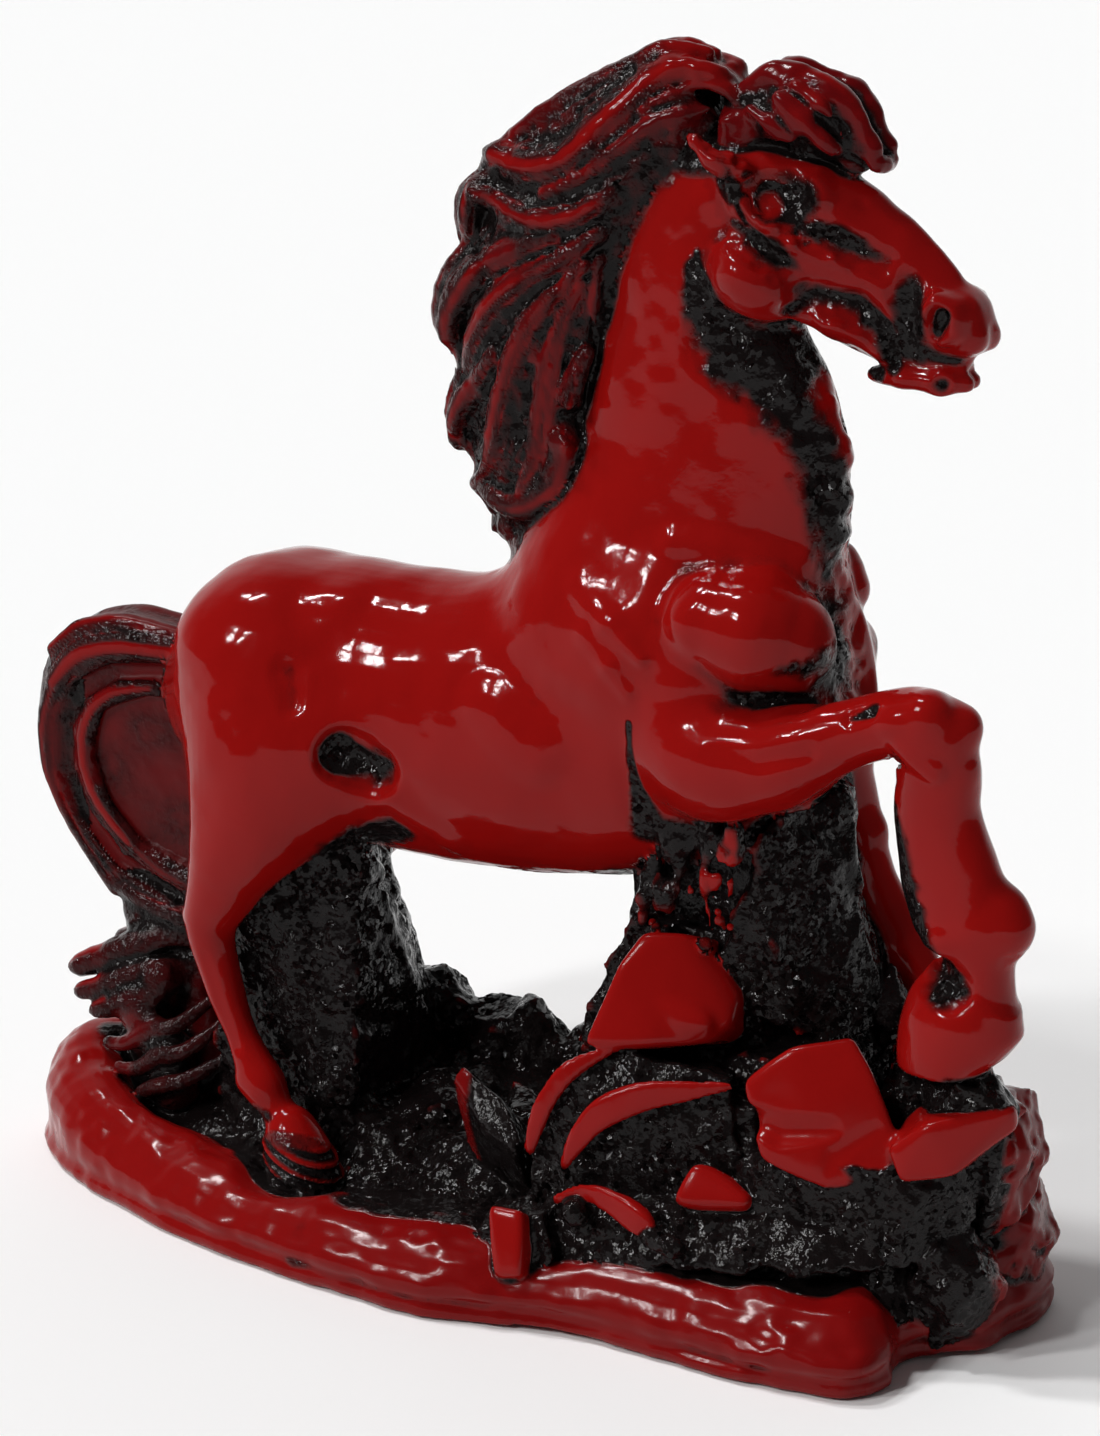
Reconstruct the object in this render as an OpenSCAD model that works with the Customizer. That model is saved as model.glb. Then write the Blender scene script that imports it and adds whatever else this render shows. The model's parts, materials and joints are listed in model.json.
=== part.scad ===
// Prancing horse statue, cast in resin sections that are pinned and glued on a rock plinth.
// The horse faces +X and its middle plane is parallel to XZ. Lengths are in millimetres.

/* [Statue] */
// Height from the table to the top of the mane
statue_h = 150; // [90:5:300]
// Sides of the body and limb castings
limb_sides = 12; // [12:2:18]

/* [Plinth] */
// Height of the slanted rim
rim_h = 10; // [9:0.5:11]
// Height of the ground inside the rim
ground_h = 7; // [6.5:0.25:8]
// Thickness of the felt under the plinth
felt_t = 1; // [0.8:0.1:1.5]
// How far the felt stands out of its recess
felt_proud = 0.2; // [0.1:0.05:0.4]
// Share of the plinth's outline that the felt covers
felt_share = 0.84; // [0.7:0.02:0.9]

/* [Pins] */
// Diameter of the dowels in the neck and the pillar
dowel_d = 5; // [4:0.5:6]
// Diameter of the wire pins
pin_d = 2.4; // [1.6:0.1:2.8]
// Glue gap all round a pin
glue_gap = 0.15; // [0.05:0.05:0.3]

/* [Hair] */
// Fullness of the mane and tail locks
lock_fullness = 1; // [0.9:0.05:1.1]

/* [Hidden] */
CASTINGS = [
    "plinth", "felt_pad", "front_outcrop", "rock_pillar", "rear_rocks",
    "torso", "neck", "head", "mane", "forelock", "tail",
    "right_foreleg", "left_foreleg", "right_hind_leg", "left_hind_leg"
];
// Each pin's name, its two ends and its diameter.
PINS = [
    ["neck_dowel", [17, 0, 72], [21, 0, 104], dowel_d],
    ["head_dowel", [22, 0, 119], [27, 0, 131], pin_d],
    ["upper_mane_pin", [1, 0, 124], [15, 0, 127], pin_d],
    ["lower_mane_pin", [-3, 0, 103], [12, 0, 104], pin_d],
    ["forelock_pin", [31, 0, 131], [33, 0, 143], pin_d],
    ["tail_dowel", [-42, 0, 66], [-62, 0, 62], pin_d],
    ["right_shoulder_pin", [30, -5, 71], [33, -15.4, 69.4], pin_d],
    ["left_shoulder_pin", [29, 5, 71], [33, 15, 66], pin_d],
    ["right_hip_pin", [-32, -6, 59], [-33.5, -16.4, 53], pin_d],
    ["left_hip_pin", [-28, 6, 59], [-28, 16, 52.6], pin_d],
    ["right_fore_hoof_pin", [59.6, -12, 28], [60.4, -12, 42], pin_d],
    ["left_fore_hoof_pin", [45.6, 11.4, 16], [45.4, 11.4, 34], pin_d],
    ["right_hind_hoof_pin", [-25.4, -17, 3], [-26.4, -16.8, 10], pin_d],
    ["left_hind_hoof_pin", [-28.6, 13, 3], [-29.6, 13, 10], pin_d],
    ["pillar_dowel", [26, 0, 3], [27, 0, 40], dowel_d],
    ["left_outcrop_pin", [20, -20, 3], [20, -20, 13], pin_d],
    ["right_outcrop_pin", [50, -14, 3], [50, -14, 20], pin_d],
    ["rear_rock_pin", [-33, 2, 3], [-33, 2, 24], pin_d]
];

// Sides of the barrel and the head, and of the neck.
body_sides = 2 * limb_sides - 4;
neck_sides = 2 * limb_sides - 6;
// The figure is drawn at this height and scaled to statue_h.
drawn_h = 150;
// Puts the middle of the statue's box over the origin.
figure_shift = [3.85, 5.4, 0];
lacquer = [0.55, 0.05, 0.04];
dark_lacquer = [0.32, 0.07, 0.07];
black_wash = [0.12, 0.08, 0.08];
steel = [0.7, 0.7, 0.72];
felt_green = [0.1, 0.25, 0.15];

// Curves through rows of numbers. A place along the rows runs from 0 to the last index.
function row(rows, i) = rows[max(0, min(len(rows) - 1, i))];
function spline(a, b, c, d, t) =
    0.5 * (2 * b + (c - a) * t + (2 * a - 5 * b + 4 * c - d) * t * t
    + (3 * b - a - 3 * c + d) * t * t * t);
function along(rows, u) =
    let (i = min(floor(u), len(rows) - 2))
    spline(row(rows, i - 1), row(rows, i), row(rows, i + 1), row(rows, i + 2), u - i);
function round_trip(rows, u) =
    let (n = len(rows), i = floor(u))
    spline(rows[(i + n - 1) % n], rows[i % n], rows[(i + 1) % n], rows[(i + 2) % n], u - i);
function unit(v) = v / norm(v);
function middle(r) = [r[0], r[1], r[2]];
function mean(points) = [for (p = points) 1] * points / len(points);
function mirrored(list) = [for (r = list) [for (c = [0:len(r) - 1]) c == 1 ? -r[1] : r[c]]];

// Muscles and hollows on a casting. A swelling is x, y, z, reach and height, below 0 for a hollow.
function swollen(p, out, swellings) =
    p + out * ([for (s = swellings) s[4] * exp(-pow(norm(p - middle(s)) / s[3], 2))]
    * [for (s = swellings) 1]);
function both(list) = concat(list, mirrored(list));
no_swelling = [[0, 0, 0, 1, 0]];

// One ring of a casting. A row is x, y, z, half width, reach to the front and reach to the back.
// Facing is 1 on a spine that runs forward or down, and -1 on one that runs up.
function ring(rows, u, sides, facing, swellings) =
    let (
        last = len(rows) - 1,
        step = 0.05,
        r = along(rows, u),
        way = unit(middle(along(rows, min(u + step, last))) - middle(along(rows, max(u - step, 0)))),
        y = [0, facing, 0],
        across = unit(y - (y * way) * way),
        front = cross(way, across)
    )
    [for (k = [0:sides - 1])
        let (a = 360 * k / sides)
        let (out = across * r[3] * cos(a) + front * (sin(a) > 0 ? r[4] : r[5]) * sin(a))
        swollen(middle(r) + out, unit(out), swellings)];

// Skins a stack of rings that have the same number of points.
module skin(rings) {
    n = len(rings[0]);
    last = len(rings) - 1;
    points = [for (r = rings) each r, mean(rings[0]), mean(rings[last])];
    cap = n * len(rings);
    faces = [
        for (i = [0:last - 1], k = [0:n - 1])
            let (a = i * n + k, b = i * n + (k + 1) % n)
            each [[a, a + n, b + n], [a, b + n, b]],
        for (k = [0:n - 1]) [cap, k, (k + 1) % n],
        for (k = [0:n - 1]) [cap + 1, last * n + (k + 1) % n, last * n + k]
    ];
    polyhedron(points, faces);
}

module loft(rows, sides = limb_sides, per_row = 1, facing = 1, swellings = no_swelling) {
    last = len(rows) - 1;
    skin([for (i = [0:last * per_row]) ring(rows, i / per_row, sides, facing, swellings)]);
}

// A rounded mass over a few balls, each x, y, z and radius.
module mass(balls, sides = 10) {
    hull() {
        for (b = balls) {
            translate(middle(b)) sphere(b[3], $fn = sides);
        }
    }
}

module both_masses(balls, sides = 10) {
    mass(balls, sides);
    mass(mirrored(balls), sides);
}

// A lock of hair, a rib or a ledge. A row is x, y, z and half width.
lock_sides = 5;
module lock(path, flat = 1) {
    loft([for (p = path)
        let (r = lock_fullness * p[3])
        [p[0], p[1], p[2], r * flat, r, r]], lock_sides);
}

module both_locks(path, flat = 1) {
    lock(path, flat);
    lock(mirrored(path), flat);
}

// A rock is the hull of its corners.
module rock(corners) {
    hull() {
        polyhedron(corners, [for (i = [0:len(corners) - 3]) [i, i + 1, i + 2]]);
    }
}

// A boulder has its corners on a rough ball, spread by the golden angle.
module boulder(centre, size, seed, corners = 14) {
    golden = 137.508;
    rough = rands(0.8, 1.05, corners, seed);
    rock([for (i = [0:corners - 1])
        let (h = 1 - 2 * (i + 0.5) / corners, r = sqrt(1 - h * h), a = golden * i)
        let (way = [r * cos(a), r * sin(a), h])
        [for (c = [0:2]) centre[c] + size[c] * rough[i] * way[c]]]);
}

// A round bar from one point to another.
module bar(start, end, d, sides) {
    way = end - start;
    long = norm(way);
    translate(start)
        rotate([0, acos(way[2] / long), atan2(way[1], way[0])])
            cylinder(h = long, d = d, $fn = sides);
}

// Sockets leave the glue gap round a pin and past its ends. A few flats are enough to hold the glue.
pin_sides = 16;
socket_sides = 8;
module sockets(sides = socket_sides) {
    for (p = PINS) {
        past = glue_gap * unit(p[2] - p[1]);
        bar(p[1] - past, p[2] + past, (p[3] + 2 * glue_gap) / cos(180 / sides), sides);
    }
}

module placed() {
    scale(statue_h / drawn_h) translate(figure_shift) children();
}

// Plinth: an oval with a corner and a notch at the right front, and a rim that rises to the left.
plinth_outline = [
    [-72.5, -3], [-62, -16.5], [-45, -24.5], [-30, -30.5], [-14, -33], [5, -33], [22, -31],
    [40, -31.7], [53, -30.8], [58, -25], [57, -18.5], [65, -12], [67.5, -1], [65.5, 9],
    [56, 17], [36, 21], [10, 22.5], [-18, 22], [-44, 19], [-63, 10]
];
plinth_middle = [-2, -4];
plinth_half = [69, 27];
plinth_steps = 2;
// The rim starts to rise here, and by this share over the length after it.
rise_from = -42;
rise_over = 26;
rise_share = 0.4;
function plinth_point(u, inset) =
    let (p = round_trip(plinth_outline, u) - plinth_middle)
    [for (c = [0:1]) plinth_middle[c] + p[c] * (1 - inset[c] / plinth_half[c])];
function plinth_ring(z, inset, rises = true) =
    [for (i = [0:len(plinth_outline) * plinth_steps - 1])
        let (
            p = plinth_point(i / plinth_steps, inset),
            lift = rises ? 1 + rise_share * max(0, (rise_from - p[0]) / rise_over) : 1
        )
        [p[0], p[1], z * lift]];

module plinth_form() {
    skin([
        plinth_ring(felt_proud, [0.6, 0.6], false),
        plinth_ring(1.4, [0, 0], false),
        plinth_ring(rim_h * 0.42, [0.3, 0.3]),
        plinth_ring(rim_h * 0.74, [2.2, 1.8]),
        plinth_ring(rim_h * 0.95, [5, 3.8]),
        plinth_ring(rim_h, [8, 6]),
        plinth_ring(ground_h, [13, 9])
    ]);
}

// The felt, and with a gap the recess that it is glued into.
module felt_sheet(thickness, gap = 0) {
    linear_extrude(thickness)
        polygon([for (i = [0:len(plinth_outline) * plinth_steps - 1])
            plinth_point(i / plinth_steps, plinth_half * (1 - felt_share) - [gap, gap])]);
}

// Everything below the ground, where the plinth is.
module under_ground() {
    translate([-100, -100, -50]) cube([200, 200, 50 + ground_h - 2]);
}

// Rocks in front and at the right end, which carry the raised hoof.
outcrop_rocks = [
    [[33.5, -17.6, 33], [39, -15.4, 36], [47, -13.6, 37.4], [50.5, -14, 36], [49.4, -17.6, 31.5],
        [53, -18.6, 27.5], [50.5, -21.6, 22.5], [44.5, -22.8, 22], [39, -21.8, 24.5], [36, -21, 27],
        [40, -2, 36], [50, -2, 34], [38, 0, 4], [54, -6, 4], [44, -14, 4]],
    [[54.5, -19.4, 26], [60, -18.8, 29.6], [66.6, -13.8, 31.4], [67, -13, 29.4], [61, -18, 24.4],
        [55.4, -20.6, 23], [54, -17, 21], [52, -6, 30], [64.6, -4, 31.4], [54, -8, 4], [62, -6, 4]],
    [[-6, -19, 4], [-3, -18, 11], [5, -25.5, 11], [30, -25, 4], [56, -20, 4], [60, -8, 4], [12, -14, 16],
        [30, -19, 17], [52, -17, 18], [58, -8, 16], [16, -6, 16]],
    [[14, -18, 4], [24, -17, 27], [36, -16, 28], [38, -18, 14], [14, -8, 26], [38, -8, 28],
        [20, -8, 4], [40, -8, 4]],
    [[25.6, -20.6, 15], [31.6, -20.6, 22], [33.6, -20.8, 21.6], [38.4, -21.4, 17.6],
        [37, -23.6, 15.4], [29, -16, 20], [38, -16, 17], [28, -16, 4], [38, -16, 4]],
    [[11.6, -22.4, 16.6], [14.4, -23, 18.6], [19, -23.8, 18.4], [27.4, -24, 15.4],
        [25.4, -26.2, 12], [20, -26, 13.4], [14, -18, 16], [26, -18, 14], [14, -18, 4],
        [27, -20, 4]],
    [[4.2, -28, 14.2], [8.8, -28.2, 14.4], [8.8, -31, 5], [5, -31.4, 5], [4.2, -24, 12.6],
        [8.8, -24, 12.6], [5, -24, 4], [8.8, -24, 4]]
];
// Two curved blades and a leaf of rock that spring from the ground at the left of the rocks.
outcrop_blades = [
    [[8.4, -21, 11, 1.6], [8.8, -21, 19, 2.4], [10.4, -20.4, 25, 2.6], [13.8, -18.6, 29.4, 2.4],
        [20, -15.6, 32, 1.6]],
    [[13.6, -22, 14, 1.6], [16, -21.6, 23.4, 2.8], [20.6, -20, 27.4, 2.8], [27, -18.6, 29.6, 2.4],
        [36, -17, 31.4, 1.6]],
    [[-6, -15.5, 23, 0.8], [-3, -17.4, 22, 2.4], [0.4, -19.4, 18.4, 3], [4, -20.6, 14, 2.6],
        [6, -20.8, 8, 1.6]]
];
blade_flat = 1.5;

module outcrop_form() {
    for (r = outcrop_rocks) {
        rock(r);
    }
    for (p = outcrop_blades) {
        lock(p, blade_flat);
    }
    boulder([59.4, -11, 30.6], [6.8, 6.6, 5.6], 13);
    boulder([60.5, -3, 23], [6.5, 10, 11], 3);
    boulder([60, 3, 10], [7, 10, 10], 7);
    boulder([58, -12, 9], [8, 8, 9], 11);
    boulder([48, 9, 12], [12, 10, 17], 5);
}

// Rough rock that rises from the plinth to the chest, with one large split face at its left.
pillar_rocks = [
    [[12.5, -14, 32], [31, -17, 32.5], [20, -10, 45.5], [29.5, -9, 47], [34, -13, 39.5],
        [15, 5, 42], [36, 6, 46], [12, 4, 26], [38, 6, 26], [28, -12, 20]],
    [[14, -7, 44], [15, 6, 43], [42, -8, 40], [43, 8, 40], [14, -7, 60], [15, 7, 60],
        [38, -8, 66], [38, 8, 66]],
    [[26, -9, 38], [46, -9, 34], [46, 9, 34], [26, 9, 38], [34, -10, 58], [44, -7, 60],
        [44, 6, 60], [34, 8, 58]],
    [[8, -14, 4], [40, -14, 4], [42, 14, 4], [10, 12, 4], [12, -10, 31], [38, -13, 33],
        [40, 12, 34], [14, 10, 30]]
];

module pillar_form() {
    for (r = pillar_rocks) {
        rock(r);
    }
}

// Rough ground and rocks along the far edge, and the web of rock between the hind legs.
module rear_rock_form() {
    rock([[-44, -10, 4], [-22, -11, 4], [-18, 12, 4], [-44, 13, 4], [-42, -11, 34], [-36, -11, 54],
        [-22, -7, 53], [-29, 8, 52], [-22.4, -8, 40], [-42, 8, 44], [-23, -6, 30], [-27, 12, 28]]);
    rock([[-60, -8, 4], [-42, -14, 4], [-16, -14, 4], [-6, -20, 4], [13, -16, 4], [14, 17, 4],
        [-30, 18, 4], [-58, 12, 4], [-50, -4, 13], [-36, -8, 13], [-10, -11, 12], [8, -10, 14],
        [8, 11, 17], [-28, 13, 17], [-50, 7, 15]]);
    boulder([-24, 14, 19], [9, 6, 9], 2);
    boulder([-11, 13, 16], [12, 7, 9], 4);
    boulder([4, 12, 15], [9, 8, 10], 6);
    boulder([-12, -2, 10], [13, 9, 9], 8);
    boulder([-50, 9, 11], [12, 7, 9], 9);
}

// The barrel with the haunches, flanks, shoulders and breast.
torso_rows = [
    [-53, 0, 67, 4.5, 4, 5], [-47, 0, 65.5, 11, 10.5, 11], [-39, 0, 65.5, 14.5, 16, 16],
    [-30, 0, 65.5, 15, 18.2, 17.5], [-20, 0, 64.8, 14.5, 18.8, 18.5], [-9, 0, 64.4, 15, 19.4, 18.4],
    [2, 0, 65.2, 15, 20.6, 18.4], [12, 0, 67.3, 14.5, 21, 19], [22, 0, 70.5, 14, 19.5, 18],
    [32, 0, 74.5, 12.5, 16, 14], [39, 0, 77.5, 9, 10, 10], [42, 0, 78.5, 4, 5, 5]
];
torso_swellings = both([
    [13, -13, 82, 9, 1.6], [20, -14, 79, 8, 2.4], [25, -13, 71, 8, 2.2], [17, -13, 67, 4, -0.8],
    [-37, -13, 71, 10, 1.8], [-31, -14.6, 61, 8, 1.6], [-26, -13, 57, 7, 2.2], [-25, -9, 79, 5, 0.9],
    [-19.5, -14.6, 62, 4, -3.4], [-13, -13, 57.6, 4, 1], [-8, -11, 54, 4, 0.7], [-7, -15, 67, 9, 0.8]
]);
right_breast = [[17, -5, 82.6, 8], [29, -8.8, 84, 7], [35.4, -7.4, 83.4, 6.4]];
left_breast = [[17, 5, 82.6, 8], [37, 6.4, 86, 5.4], [38.6, 6, 79.8, 5.6]];

module torso_form() {
    loft(torso_rows, body_sides, 2, 1, torso_swellings);
    mass(right_breast, 10);
    mass(left_breast, 10);
}

neck_rows = [
    [15, 0, 76, 12, 22, 19], [18, 0, 88, 11.8, 22.5, 19.5], [20.5, 0, 98, 10, 21, 18],
    [21.5, 0, 107, 8.8, 17.5, 16.5], [21.5, 0, 116, 8.2, 12.5, 14.5], [21.5, 0, 125, 7.4, 9, 12],
    [23, 0, 133, 6, 7, 9], [25, 0, 138, 3.5, 4, 5]
];
// A rough crest runs down the throat.
neck_swellings = both([
    [30, -6, 112, 5, 1.2], [35.4, -3, 106.6, 5, 1.2], [38.4, -2, 99, 5, 1]
]);

module neck_form() {
    loft(neck_rows, neck_sides, 1, -1, neck_swellings);
}

// The head with its cheeks, brows, eyes, ears, nostrils and lips.
head_rows = [
    [20, 0, 135, 5, 5, 7], [26, 0, 132.5, 6.6, 7.5, 9], [32, 0, 129, 7, 9.5, 10],
    [38, 0, 125.3, 5.8, 10, 9], [44, 0, 121.3, 4.6, 9.2, 8], [49, 0, 118.4, 4.2, 8, 6.2],
    [53, 0, 116.8, 4, 6.2, 4.8], [55, 0, 116, 2.8, 4, 3]
];
// Eye socket, crevices under the eye, cheekbone, jaw arch and the groove behind the muzzle.
face_swellings = both([
    [31.8, -7, 133, 2.8, -2], [29, -7.8, 129.4, 1.8, -1.2], [32.6, -8, 127.6, 1.8, -1.4],
    [36, -6.6, 130.2, 1.8, -1.2], [39.6, -5.8, 128.8, 1.8, -1.5], [43.4, -4.8, 126.8, 1.8, -1],
    [36.5, -6.9, 127.4, 1.8, 1.1], [40.1, -6.2, 126, 1.8, 1.3], [44, -5, 124.2, 1.8, 1.1],
    [36.6, -5.8, 122.4, 1.9, -1.2], [41.6, -4.8, 121.2, 1.9, -1.5], [44.6, -4.2, 117.8, 1.9, -1.2],
    [46.8, -4.5, 123.4, 1.8, -1.2], [46.9, -4.6, 120.4, 1.8, -1.5], [39.6, -4.6, 118.6, 2.4, 0.9],
    [38.6, -4.8, 137, 2.4, -0.9], [51, -4.4, 120.8, 2.8, 1.6]
]);
cheek = [[29.4, -4.2, 124.2, 6.2], [31.4, -3.8, 127.6, 5]];
brow = [[26.6, -6.2, 136.4, 2], [32.4, -6, 137.2, 2], [36.4, -5.6, 135.2, 1.9]];
eyeball = [[31.6, -5.6, 132.6, 2]];
lower_lid = [[29, -6.2, 131, 1.1], [34.8, -6, 130.6, 1.1]];
nostril_pit = [[51.4, -6.4, 120.6, 1.6], [50.4, -6, 118.8, 1.2]];
ear = [[28, -6.4, 135.8, 1.8], [24, -7.6, 138.4, 1.8], [20.6, -7.6, 140.2, 0.6]];
upper_lip = [[53.8, -1.6, 118, 2.6], [53.8, 1.6, 118, 2.6]];
lower_lip = [
    [51.2, -2, 113, 2.1], [51.2, 2, 113, 2.1], [42.4, -1.6, 113.8, 2.2], [42.4, 1.6, 113.8, 2.2]
];
mouth_slit = [
    [45.5, -7, 115.4, 0.5], [45.5, 7, 115.4, 0.5], [57.5, -7, 115, 0.6], [57.5, 7, 115, 0.6]
];

module head_form() {
    difference() {
        union() {
            loft(head_rows, body_sides, 3, 1, face_swellings);
            both_masses(cheek, 10);
            for (balls = [brow, eyeball, lower_lid, ear]) {
                both_masses(balls, 6);
            }
            mass(upper_lip, 8);
            mass(lower_lip, 6);
        }
        mass(mouth_slit, 6);
        both_masses(nostril_pit, 6);
    }
}

// The mane: a core behind the neck under locks that sweep back and down on both sides.
mane_core_rows = [
    [-1, 0, 86, 4.4, 7, 4.4], [0.5, 0, 98, 7.4, 9, 9.6], [1, 0, 110, 8.2, 10, 11.5],
    [4, 0, 121, 8, 10, 14.6], [10, 0, 131, 7.4, 9, 16], [17, 0, 139, 6.4, 6, 9.9],
    [22, 0, 143.6, 4, 4, 4]
];
crest_lock = [
    [26.6, 0, 142.4, 2.4], [21.6, 0, 147.1, 3], [15.4, 0, 147.1, 3], [9.4, 0, 143.2, 2.9],
    [3, 0, 138.8, 2.6], [-4.6, 0, 135.4, 1.8]
];
mane_locks = [
    [[24, -3.2, 143.8, 1.6], [17.4, -4.2, 144.8, 2.7], [12, -5.8, 141.6, 2.7], [7, -6.6, 136.8, 2.4],
        [0.5, -6, 134.4, 2.3], [-5.4, -4.4, 135.4, 1.6]],
    [[23, -4.8, 141, 1.2], [15, -6.1, 139.2, 1.8], [9, -7.1, 134.6, 1.8], [2, -7, 131.6, 1.2]],
    [[11.6, -7.6, 131.9, 1.3], [6.6, -8.4, 129.3, 2.1], [0.6, -8, 128.6, 2.1], [-7.4, -4.8, 130.8, 1.3]],
    [[10.4, -7.4, 127.4, 1.2], [3, -8.2, 122.8, 2], [-4.5, -7.8, 118, 2.4], [-9.6, -5.4, 110.4, 1.5]],
    [[5, -7.6, 126.8, 1.2], [-4, -6, 123.4, 2.2], [-9.8, -5, 117, 2.6], [-11, -4.2, 108.6, 1.5]],
    [[9, -8.4, 123.6, 1.1], [1.4, -9.2, 116, 1.8], [-2.4, -8.8, 107.6, 2.1], [-5, -6.8, 99, 1.7],
        [-9.6, -4, 95.4, 1.2]],
    [[10, -9.4, 113, 1.4], [8.2, -10, 106, 2.7], [6.6, -9.8, 98.4, 2.9], [1.4, -8, 94, 2.2],
        [-6.4, -5.6, 94.4, 1.4]],
    [[11.4, -9.4, 114, 1.1], [12.8, -10.4, 103, 1.4], [11, -10.6, 95.4, 1.4], [5, -8.8, 91, 1.4],
        [-2, -6, 88.6, 1.1]],
    [[-3, -6.4, 112, 1.2], [-9, -5, 105, 2], [-11.8, -3, 98.6, 1.2]]
];

module mane_form() {
    loft(mane_core_rows, 10, 1, -1);
    lock(crest_lock, 1.5);
    for (p = mane_locks) {
        both_locks(p);
    }
}

// The forelock blown up over the brow.
forelock_core = [[26, 0, 139.4, 4.4], [31, 0, 141.4, 5], [36.6, 0, 139.8, 4.8], [40, 0, 137.4, 3.4]];
forelock_locks = [
    [[26, -1.6, 142.6, 1.6], [31.6, -1.8, 145.6, 2.2], [37, -1.8, 144, 2.3], [41.4, -1.6, 139.4, 2.1],
        [42.8, -1.4, 135.8, 1.8]],
    [[28.4, -4.2, 142.6, 1.4], [33.4, -4.4, 142.6, 1.8], [38, -4.4, 138.6, 1.6], [39.4, -4.2, 136, 1.1]]
];

module forelock_form() {
    mass(forelock_core, 8);
    for (p = forelock_locks) {
        both_locks(p);
    }
}

// The tail arches off the croup, falls behind the hocks and fans out over the plinth.
tail_sheet = [
    [-44, 3.4, 69.4], [-52, 3.4, 72], [-60, 3.6, 74], [-68.4, 3.4, 72.4], [-74, 3, 67], [-76, 2.8, 59],
    [-75.2, 2.8, 51], [-71.4, 3, 43.4], [-65.6, 3.2, 36.4], [-59, 3.4, 29], [-50, 3.4, 28], [-44, 3.4, 35]
];
// The dull panel is sunk on both sides to this half thickness.
tail_panel_t = 2.4;
tail_panel = [[-43, 62], [-56, 62.4], [-63, 59.6], [-64.6, 53], [-62, 47], [-57, 42.4], [-43, 38.6]];
tail_foot = [[-59, 0, 31, 3.6], [-51, 0, 31, 4.4], [-58, 0, 12, 5.6], [-50, 0, 13, 6]];
tail_locks = [
    [[-46.4, -2.8, 69, 1.8], [-57, -3.4, 69.4, 2.3], [-66, -3.6, 67, 2.4], [-70.8, -3.4, 61.4, 2.3],
        [-72, -3.2, 54, 2.1], [-69.4, -3, 45, 1.8], [-62, -3, 35, 1.4]],
    [[-48, -3, 65.4, 1.2], [-59, -3.2, 63.6, 1.6], [-65.4, -3.2, 58, 1.9], [-65.4, -3.2, 50.4, 2],
        [-59.4, -3.2, 42.4, 1.8], [-46, -3.2, 36.8, 1.4]]
];
tail_tips = [
    [[-50, -2.6, 31, 2.2], [-56, -4, 29, 3], [-62.4, -5, 26.4, 2.8], [-68.2, -5.4, 23.4, 1.7]],
    [[-50, -4, 26, 2], [-56, -6, 25, 2.6], [-61, -7, 22.6, 2.4], [-65, -7.4, 20.6, 1.5]],
    [[-50, -4.8, 20.6, 2.2], [-55.4, -7, 19.6, 2.6], [-60, -8, 17.4, 2.4], [-63.4, -8.4, 15.6, 1.5]]
];

module tail_form() {
    difference() {
        rock(both(tail_sheet));
        for (side = [-1, 1]) {
            rock([for (p = tail_panel, y = [tail_panel_t, 9]) [p[0], side * y, p[1]]]);
        }
    }
    mass(tail_foot, 8);
    for (p = tail_locks) {
        both_locks(p);
    }
    for (p = tail_tips) {
        both_locks(p);
    }
}

// The right foreleg is raised and bent at the knee, with its hoof on the outcrop.
right_foreleg_rows = [
    [19, -7.5, 74, 6.6, 8, 8], [27, -11.4, 68.6, 6.6, 8, 8], [34.1, -12.4, 69.2, 6.2, 7, 7],
    [39.7, -12.6, 71.6, 5.5, 5.8, 5.9], [45.1, -12.6, 74, 4.5, 4.5, 4.7], [50, -12.6, 75.8, 4.7, 4.9, 4.7],
    [55, -12.6, 75.8, 5.3, 5.6, 5.2], [57, -12.4, 70.6, 4.9, 5.2, 5], [57.4, -12.2, 66, 4.3, 4.6, 4.5],
    [58.9, -12.2, 60, 4.4, 4.7, 4.7], [60.6, -12, 56, 4.8, 5.3, 5], [62, -12, 52.8, 5.2, 6.2, 5.4],
    [61.9, -12, 48.8, 4.4, 4.8, 4.4], [61, -12, 45.4, 5.2, 5.4, 6], [60, -12, 41, 6.1, 6.2, 7.2],
    [59.5, -12, 37.4, 6.6, 6.8, 7.6], [59.4, -12, 33, 6.7, 6.9, 7.6]
];
left_foreleg_rows = [
    [26, 8, 76, 7, 8, 8], [32, 11, 68, 6.4, 7, 7.6], [37.5, 11.6, 60, 4.8, 5.4, 5],
    [41.5, 11.6, 52, 4.2, 4.8, 4.4], [43, 11.4, 46, 3.6, 4, 3.8], [44.4, 11.4, 40.5, 4, 4.4, 4.2],
    [45, 11.4, 37, 3.6, 3.8, 3.6],
    [45.4, 11.4, 33.5, 4.8, 5, 5], [45.6, 11.4, 26, 5.6, 6, 6]
];
right_hind_leg_rows = [
    [-32, -5, 72, 8, 10, 11], [-32.5, -9.4, 62, 8.6, 12.5, 12], [-34.5, -13, 52, 6.8, 9.6, 9.4],
    [-38, -14, 43.5, 4.8, 5.6, 5.6], [-40.6, -14, 36.8, 3.6, 3.4, 3.6],
    [-38.6, -14.4, 30, 2.8, 2.7, 2.8],
    [-35.4, -15, 23.6, 2.6, 2.6, 2.6], [-32, -15.8, 18, 3.3, 3.5, 3.3],
    [-29.6, -16.2, 14.8, 2.7, 2.8, 2.7],
    [-28, -16.5, 12.6, 3.6, 4.2, 3.6], [-25.8, -17, 7.4, 4.8, 5.4, 4.8], [-24.6, -17.2, 3, 5.2, 6, 5.2]
];
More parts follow.
